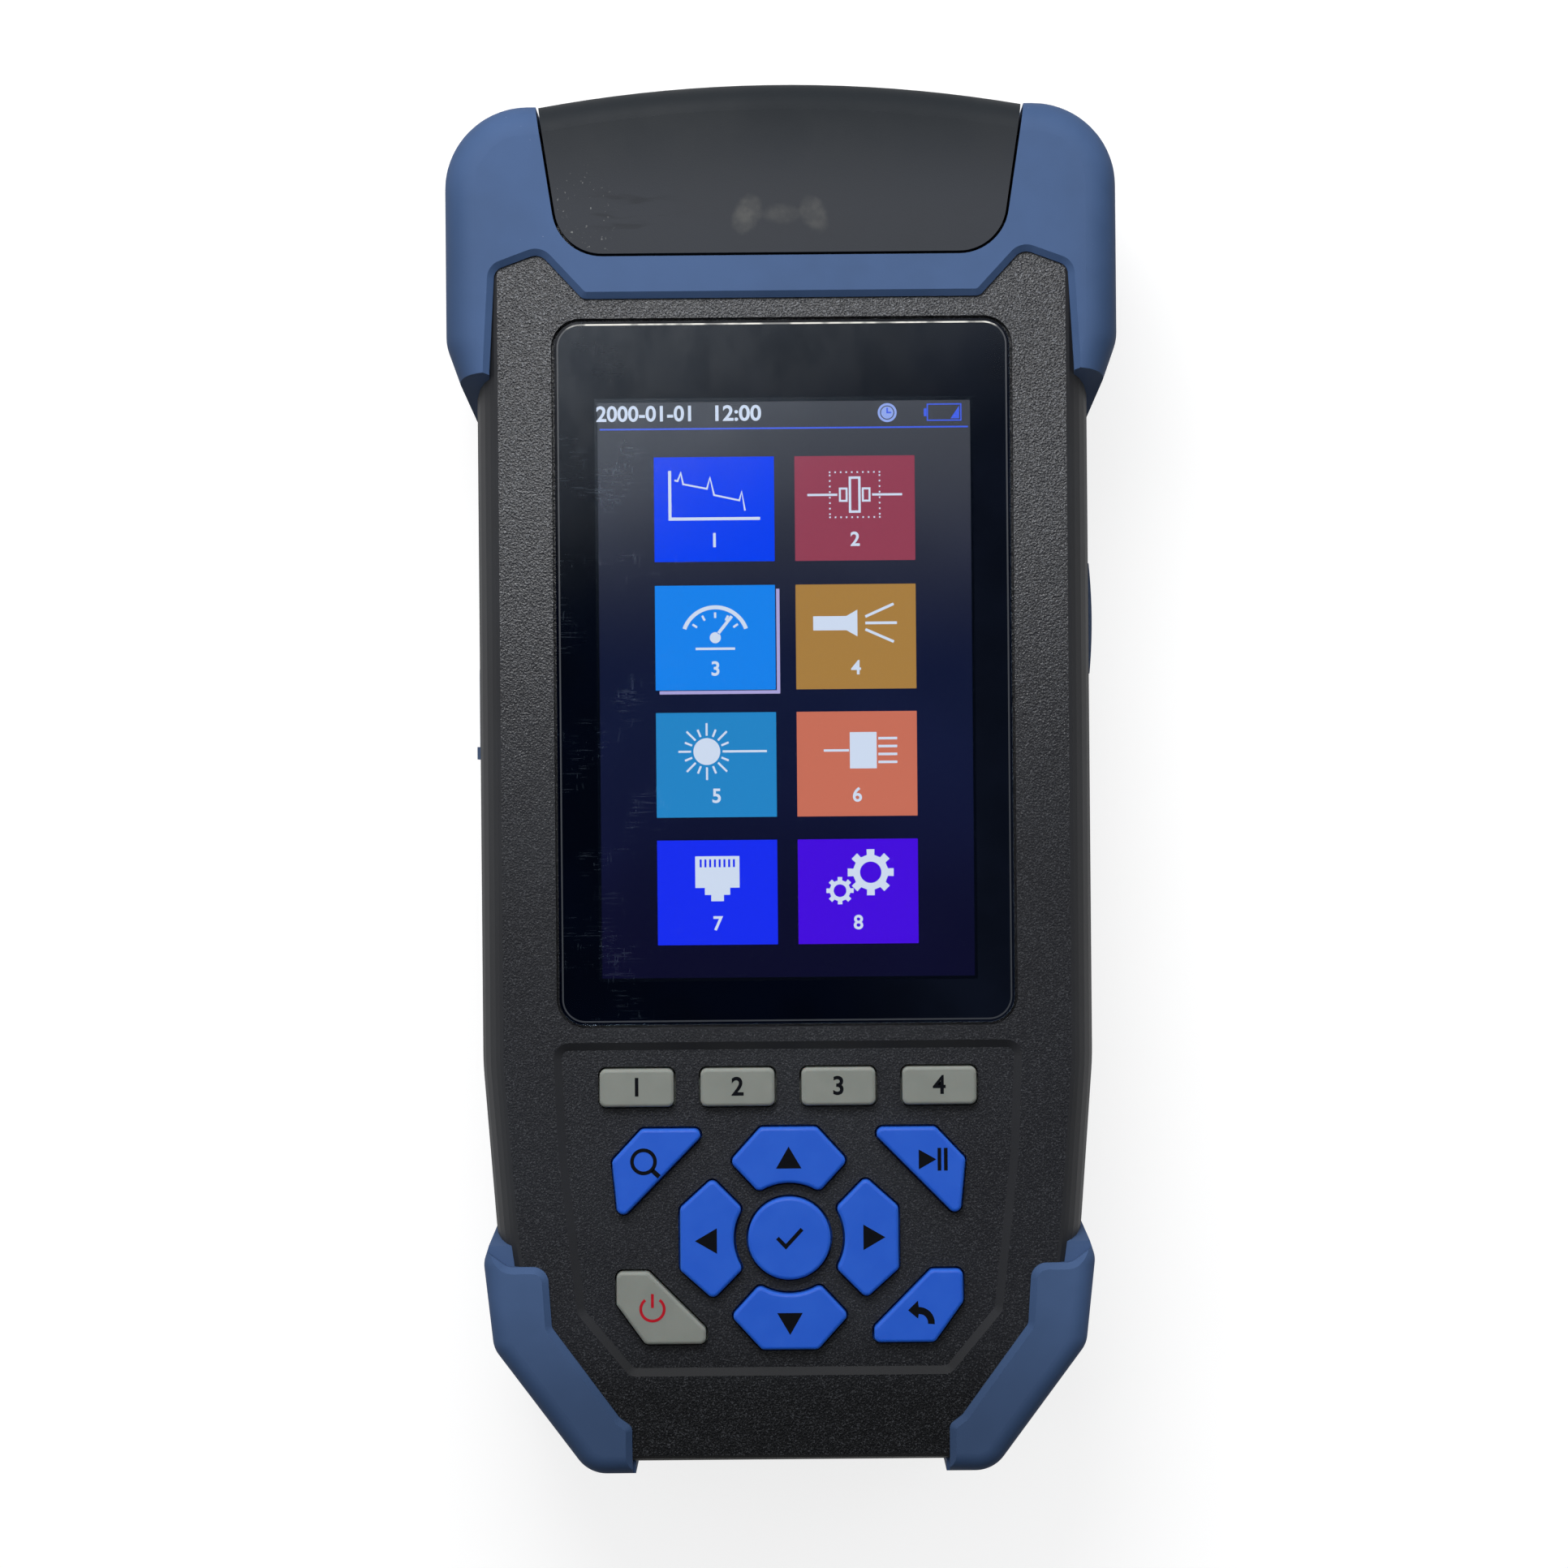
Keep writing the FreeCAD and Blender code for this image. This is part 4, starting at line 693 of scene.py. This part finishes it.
def legends():
    """Every mark on the keys."""
    ink = printed("legend_ink", (5, 7, 12), (9, 11, 18))
    red_ink = printed("legend_red", (166, 18, 34), (180, 26, 42))
    for number, key in enumerate(SOFT_KEYS, 1):
        x, y = middle(key)
        numeral(f"legend_soft_{number}", str(number), x, y, SOFT_DIGIT, KEY_TOP, ink, bold=0.06,
                body=key)
    for key, turns, right, up in ARROW_KEYS:
        arrow = shifted(quarter_turned(ARROW, turns), *middle(key, right, up))
        key_mark(key.removeprefix("key_"), [arrow], key, ink)
    tick = shifted([(-1.5, 0.1), (-0.45, -1.0), (1.6, 1.2)], *middle("key_ok"))
    key_mark("ok", [ribbon(tick, width=0.48)], "key_ok", ink)
    zoom_legend(ink)
    run_stop_legend(ink)
    back_legend(ink)
    power_legend(red_ink)


# ---- Painted highlight on the lens's edge --------------------------------------------------------
def lens_loop(inset):
    """Outline of the lens moved inwards by a distance."""
    low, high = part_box("display_lens")
    radius = LENS_CORNER - inset
    left, right = low.x / MM + inset + radius, high.x / MM - inset - radius
    foot, top = low.y / MM + inset + radius, high.y / MM - inset - radius
    points = []
    for x, y, start in ((right, top, 0), (left, top, 90), (left, foot, 180), (right, foot, 270)):
        points += arc(x, y, radius, start, start + 90, 12)
    return points


def lens_edge():
    """Thin ring along the lens's outline, a painted highlight of its edge."""
    loops = [lens_loop(LENS_BEVEL), lens_loop(LENS_BEVEL + GLINT_WIDTH)]
    flat_mark("lens_rim", loops, LENS_FRONT, lens_rim())


# ---- Menu on the screen --------------------------------------------------------------------------
MENU_Z = GLASS_TOP + 0.02      # just clear of the glass
ICON_Z = MENU_Z + 2 * DECAL    # and of the tiles
TILE_WIDE = 15.2
TILE_HIGH = 13.25
TILE_COLUMNS = (-8.7, 9.1)
TILE_ROWS = (34.05, 17.8, 1.7, -14.45)
ICON_LIFT = 1.7                # icons sit above the middle of their tile
LABEL_DROP = 4.0               # numerals sit below it
LABEL_DIGIT = 1.8
# From left to right and from the top down, as display values.
TILE_COLOURS = ((4, 64, 244), (150, 65, 86), (24, 133, 240), (172, 129, 67), (38, 136, 202),
                (206, 114, 92), (24, 46, 245), (71, 11, 226))

BAR_Y = 46.1                   # middle of the status bar
BAR_DIGIT = 1.95
DATE_X = -17.3
DATE_WIDE = 12.0
TIME_X = -5.8
TIME_WIDE = 5.8
CLOCK_X = 13.3
BATTERY_X = 20.5
RULE_Y = 44.25                 # line below the bar
RULE_WIDE = 46.6
RULE_HIGH = 0.2


def trace_icon():
    """Falling trace with three spikes between two axes."""
    axes = ribbon([(-5.6, 3.2), (-5.6, -2.9), (5.8, -2.9)], width=0.38)
    trace = ribbon([(-5.0, 2.0), (-4.6, 1.9), (-4.2, 2.9), (-3.9, 1.5), (-0.9, 0.9), (-0.5, 2.3),
                    (0.0, 0.1), (3.2, -0.6), (3.5, 0.5), (3.9, -1.9)], width=0.22)
    return [axes, trace]


def splice_icon():
    """A joint in a line: two sleeves with a plate between them, in a dotted square."""
    loops = [box_loop(side * 4.1, 0, 3.8, 0.28) for side in (-1, 1)]
    for side in (-1, 1):
        loops += [box_loop(side * 1.45, 0, 1.1, 1.8), box_loop(side * 1.45, 0, 0.6, 1.3)]
    loops += [box_loop(0, 0, 1.5, 4.6), box_loop(0, 0, 0.9, 4.0)]
    half_wide, half_high, pitch, dot, dots = 3.15, 2.85, 0.7, 0.2, 10
    for step in range(dots):
        offset = step * pitch - half_wide
        loops += [box_loop(offset, side * half_high, dot, dot) for side in (1, -1)]
        if 0 < step < dots - 1:
            loops += [box_loop(side * half_wide, offset, dot, dot) for side in (-1, 1)]
    return loops


def meter_icon():
    """A dial with a needle, over a line."""
    hub = (0, -2.0)
    face = arc(*hub, 4.4, 20, 160) + arc(*hub, 3.9, 160, 20)
    loops = [face, ribbon([(0.35, -1.2), (2.1, 1.0)], width=0.4), round_loop(0, -1.7, 0.7)]
    for angle in (35, 62, 90, 118, 145):
        loops.append(ribbon([round_point(*hub, 3.5, angle), round_point(*hub, 2.8, angle)],
                            width=0.28))
    loops.append(box_loop(0, -3.1, 5.0, 0.3))
    return loops


def torch_icon():
    """A pen light with a spreading beam."""
    body = [(-5.4, -0.9), (-5.4, 0.9), (-1.2, 0.9), (0.2, 1.7), (0.2, -1.7), (-1.2, -0.9)]
    loops = [body, ribbon([(1.2, 0.0), (5.2, 0.0)], width=0.34)]
    for side in (-1, 1):
        loops.append(ribbon([(1.2, side * 0.8), (4.8, side * 2.4)], width=0.34))
    return loops


def burst_icon():
    """A bright spot with rays and one long beam to the right."""
    spot_x = -1.2
    rays = 16
    loops = [round_loop(spot_x, 0, 1.7)]
    for ray in range(1, rays):
        angle = 360 * ray / rays
        reach = 3.6 if ray % 2 == 0 else 3.0
        loops.append(ribbon([round_point(spot_x, 0, 2.0, angle),
                             round_point(spot_x, 0, reach, angle)], width=0.26))
    loops.append(box_loop(3.6, 0, 5.6, 0.28))
    return loops


def ribbon_cable_icon():
    """A line into a block that four lines leave."""
    loops = [box_loop(-2.6, 0, 3.2, 0.3), box_loop(0.8, 0, 3.4, 4.6)]
    for step in range(4):
        loops.append(box_loop(3.9, 1.5 - step, 2.4, 0.32))
    return loops


def socket_icon():
    """A network socket seen from in front, with its eight contacts."""
    outline = [(-2.8, 2.9), (-2.8, -1.1), (-1.6, -1.1), (-1.6, -2.0), (-0.8, -2.0), (-0.8, -2.8),
               (0.8, -2.8), (0.8, -2.0), (1.6, -2.0), (1.6, -1.1), (2.8, -1.1), (2.8, 2.9)]
    loops = [outline]
    for pin in range(8):
        loops.append(box_loop(-2.1 + pin * 0.6, 2.0, 0.26, 1.0))
    return loops


def cogs_icon():
    """A large cog with a small one at its lower left."""
    loops = [gear_loop(1.6, 0.7, 2.95), round_loop(1.6, 0.7, 1.35)]
    loops += [gear_loop(-2.3, -1.6, 1.75), round_loop(-2.3, -1.6, 0.8)]
    return loops


ICONS = (trace_icon, splice_icon, meter_icon, torch_icon, burst_icon, ribbon_cable_icon,
         socket_icon, cogs_icon)


def tiles(ink):
    """Eight coloured tiles with plain symbols and numerals; the third is the chosen one."""
    for index, (icon, colour) in enumerate(zip(ICONS, TILE_COLOURS)):
        number = index + 1
        x = TILE_COLUMNS[index % 2]
        y = TILE_ROWS[index // 2]
        material = lit(f"tile_{number}_colour", colour, weave=0.1)
        flat_mark(f"tile_{number}", [box_loop(x, y, TILE_WIDE, TILE_HIGH)], MENU_Z, material)
        flat_mark(f"tile_{number}_icon", all_shifted(icon(), x, y + ICON_LIFT), ICON_Z, ink)
        numeral(f"tile_{number}_label", str(number), x, y - LABEL_DROP, LABEL_DIGIT, ICON_Z, ink,
                bold=0.05)


def chosen_edge():
    """Lilac line along the lower and right edges of the third tile."""
    beside, below, short = 0.35, 0.3, 0.5
    x = TILE_COLUMNS[0]
    y = TILE_ROWS[1]
    right = x + TILE_WIDE / 2 + beside
    low = y - TILE_HIGH / 2 - below
    corner = [(x - TILE_WIDE / 2 + short, low), (right, low), (right, y + TILE_HIGH / 2 - short)]
    lilac = lit("screen_lilac", (176, 168, 222), weave=0.03)
    flat_mark("tile_chosen_edge", [ribbon(corner, width=0.42)], ICON_Z, lilac)


def status_bar(ink, blue):
    """Bar with a date, a time, a clock and a battery, and a line below it."""
    numeral("bar_date", "2000-01-01", DATE_X, BAR_Y, BAR_DIGIT, MENU_Z, ink, bold=0.06,
            wide=DATE_WIDE)
    numeral("bar_time", "12:00", TIME_X, BAR_Y, BAR_DIGIT, MENU_Z, ink, bold=0.06, wide=TIME_WIDE)
    rule = box_loop(sum(SCREEN_X) / 2, RULE_Y, RULE_WIDE, RULE_HIGH)
    flat_mark("bar_rule", [rule], MENU_Z, blue)
    pale_blue = lit("screen_pale_blue", (150, 172, 240), weave=0.05)
    face = [round_loop(CLOCK_X, BAR_Y, radius) for radius in (1.2, 0.9, 0.78)]
    flat_mark("bar_clock", face, MENU_Z, pale_blue)
    hands = ribbon(shifted([(0.0, 0.6), (0.0, 0.0), (0.5, 0.0)], CLOCK_X, BAR_Y), width=0.2)
    flat_mark("bar_clock_hands", [hands], ICON_Z, blue)
    cell = [box_loop(0, 0, 4.4, 2.2), box_loop(0, 0, 4.08, 1.88), box_loop(-2.4, 0, 0.34, 1.0),
            [(0.8, -0.8), (1.9, -0.8), (1.9, 0.8)]]
    flat_mark("bar_battery", all_shifted(cell, BATTERY_X, BAR_Y), MENU_Z, blue)


def menu():
    """Everything that the screen shows."""
    ink = lit("screen_ink", (214, 226, 246), weave=0.05)
    blue = lit("screen_blue", (70, 100, 235), weave=0.03)
    tiles(ink)
    chosen_edge()
    status_bar(ink, blue)


# ---- Stage ---------------------------------------------------------------------------------------
CAMERA_DISTANCE = 600.0        # from the case front
CAMERA_X = -0.17               # where its axis meets the case
CAMERA_Y = -0.79
CAMERA_TURN = -0.505           # degrees
MM_SHARE = 9.78 / 1932         # share of the picture's width that a millimetre takes at that front
SENSOR = 36.0

FLOOR_HALF = 3.0               # metres
FLOOR_GREY = (0.3, 0.3, 0.3, 1)
FLOOR_GLOW = 0.8               # makes the lit floor white to the camera and in mirror images

CEILING_TURN = 24.0            # degrees that the dome's pale band is turned left in the plan
BAND = (0.04, 0.12)            # sines of the angles past the zenith where the dome turns pale
WALL = (0.4, 0.75)             # and where it turns dimmer again, towards the wall
DOME_DARK = 0.035
DOME_PALE = 0.8
WALL_SHARE = 0.6               # brightness of that wall beside the band
DOME_COLOUR = (0.95, 0.975, 1.0, 1)

# Lamps, as (name, place, size, watts), and the place that they are aimed at, all in metres.
LAMPS = (("key_lamp", (-0.05, 0.205, 0.34), 0.2, 1.1), ("fill_lamp", (0.5, 0.05, 0.6), 0.5, 0.6))
LAMP_AIM = (0, 0, 0.02)


def camera():
    """Camera straight above the display, turned very slightly in the plan."""
    lens = bpy.data.cameras.new("camera")
    lens.sensor_width = SENSOR
    lens.lens = SENSOR * MM_SHARE * CAMERA_DISTANCE
    lens.clip_start = 0.05
    holder = bpy.data.objects.new("camera", lens)
    holder.location = (CAMERA_X * MM, CAMERA_Y * MM, (CASE_FRONT + CAMERA_DISTANCE) * MM)
    holder.rotation_euler = (0, 0, math.radians(CAMERA_TURN))
    bpy.context.scene.collection.objects.link(holder)
    bpy.context.scene.camera = holder


def floor():
    """Plain pale floor that shows white to the camera and keeps the object's soft shadow."""
    mesh = bpy.data.meshes.new("floor")
    corners = [(-FLOOR_HALF, -FLOOR_HALF, 0), (FLOOR_HALF, -FLOOR_HALF, 0),
               (FLOOR_HALF, FLOOR_HALF, 0), (-FLOOR_HALF, FLOOR_HALF, 0)]
    mesh.from_pydata(corners, [], [(0, 1, 2, 3)])
    piece = bpy.data.objects.new("floor", mesh)
    bpy.context.scene.collection.objects.link(piece)
    look = Look("floor_paint", Base_Color=FLOOR_GREY, Roughness=0.8)
    path = look.new("ShaderNodeLightPath")
    seen = look.calc("MAXIMUM", path.outputs["Is Camera Ray"], path.outputs["Is Glossy Ray"])
    look.glow(WHITE, look.product(seen, FLOOR_GLOW))
    mesh.materials.append(look.material)


def surroundings():
    """Dim dome with a broad pale band over the head side, like a lit ceiling past the camera."""
    world = bpy.data.worlds.new("room")
    bpy.context.scene.world = world
    world.use_nodes = True
    dome = Nodes(world.node_tree)
    past = dome.towards(dome.new("ShaderNodeTexCoord").outputs["Generated"], CEILING_TURN)
    band = dome.span(past, *BAND, to=(DOME_DARK, DOME_PALE))
    wall = dome.span(past, *WALL, to=(1.0, WALL_SHARE))
    background = dome.tree.nodes["Background"]
    background.inputs["Color"].default_value = DOME_COLOUR
    dome.feed(background.inputs["Strength"], dome.product(band, wall))


def lamp(name, place, size, watts):
    """Round soft lamp that the camera doesn't see."""
    light = bpy.data.lights.new(name, "AREA")
    light.shape = "DISK"
    light.size = size
    light.energy = watts
    holder = bpy.data.objects.new(name, light)
    holder.location = place
    direction = Vector(LAMP_AIM) - Vector(place)
    holder.rotation_euler = direction.to_track_quat("-Z", "Y").to_euler()
    holder.visible_camera = False
    bpy.context.scene.collection.objects.link(holder)


def stage():
    bpy.context.scene.view_settings.view_transform = "Standard"
    camera()
    floor()
    surroundings()
    for name, place, size, watts in LAMPS:
        lamp(name, place, size, watts)


dress_frame()
legends()
lens_edge()
menu()
stage()
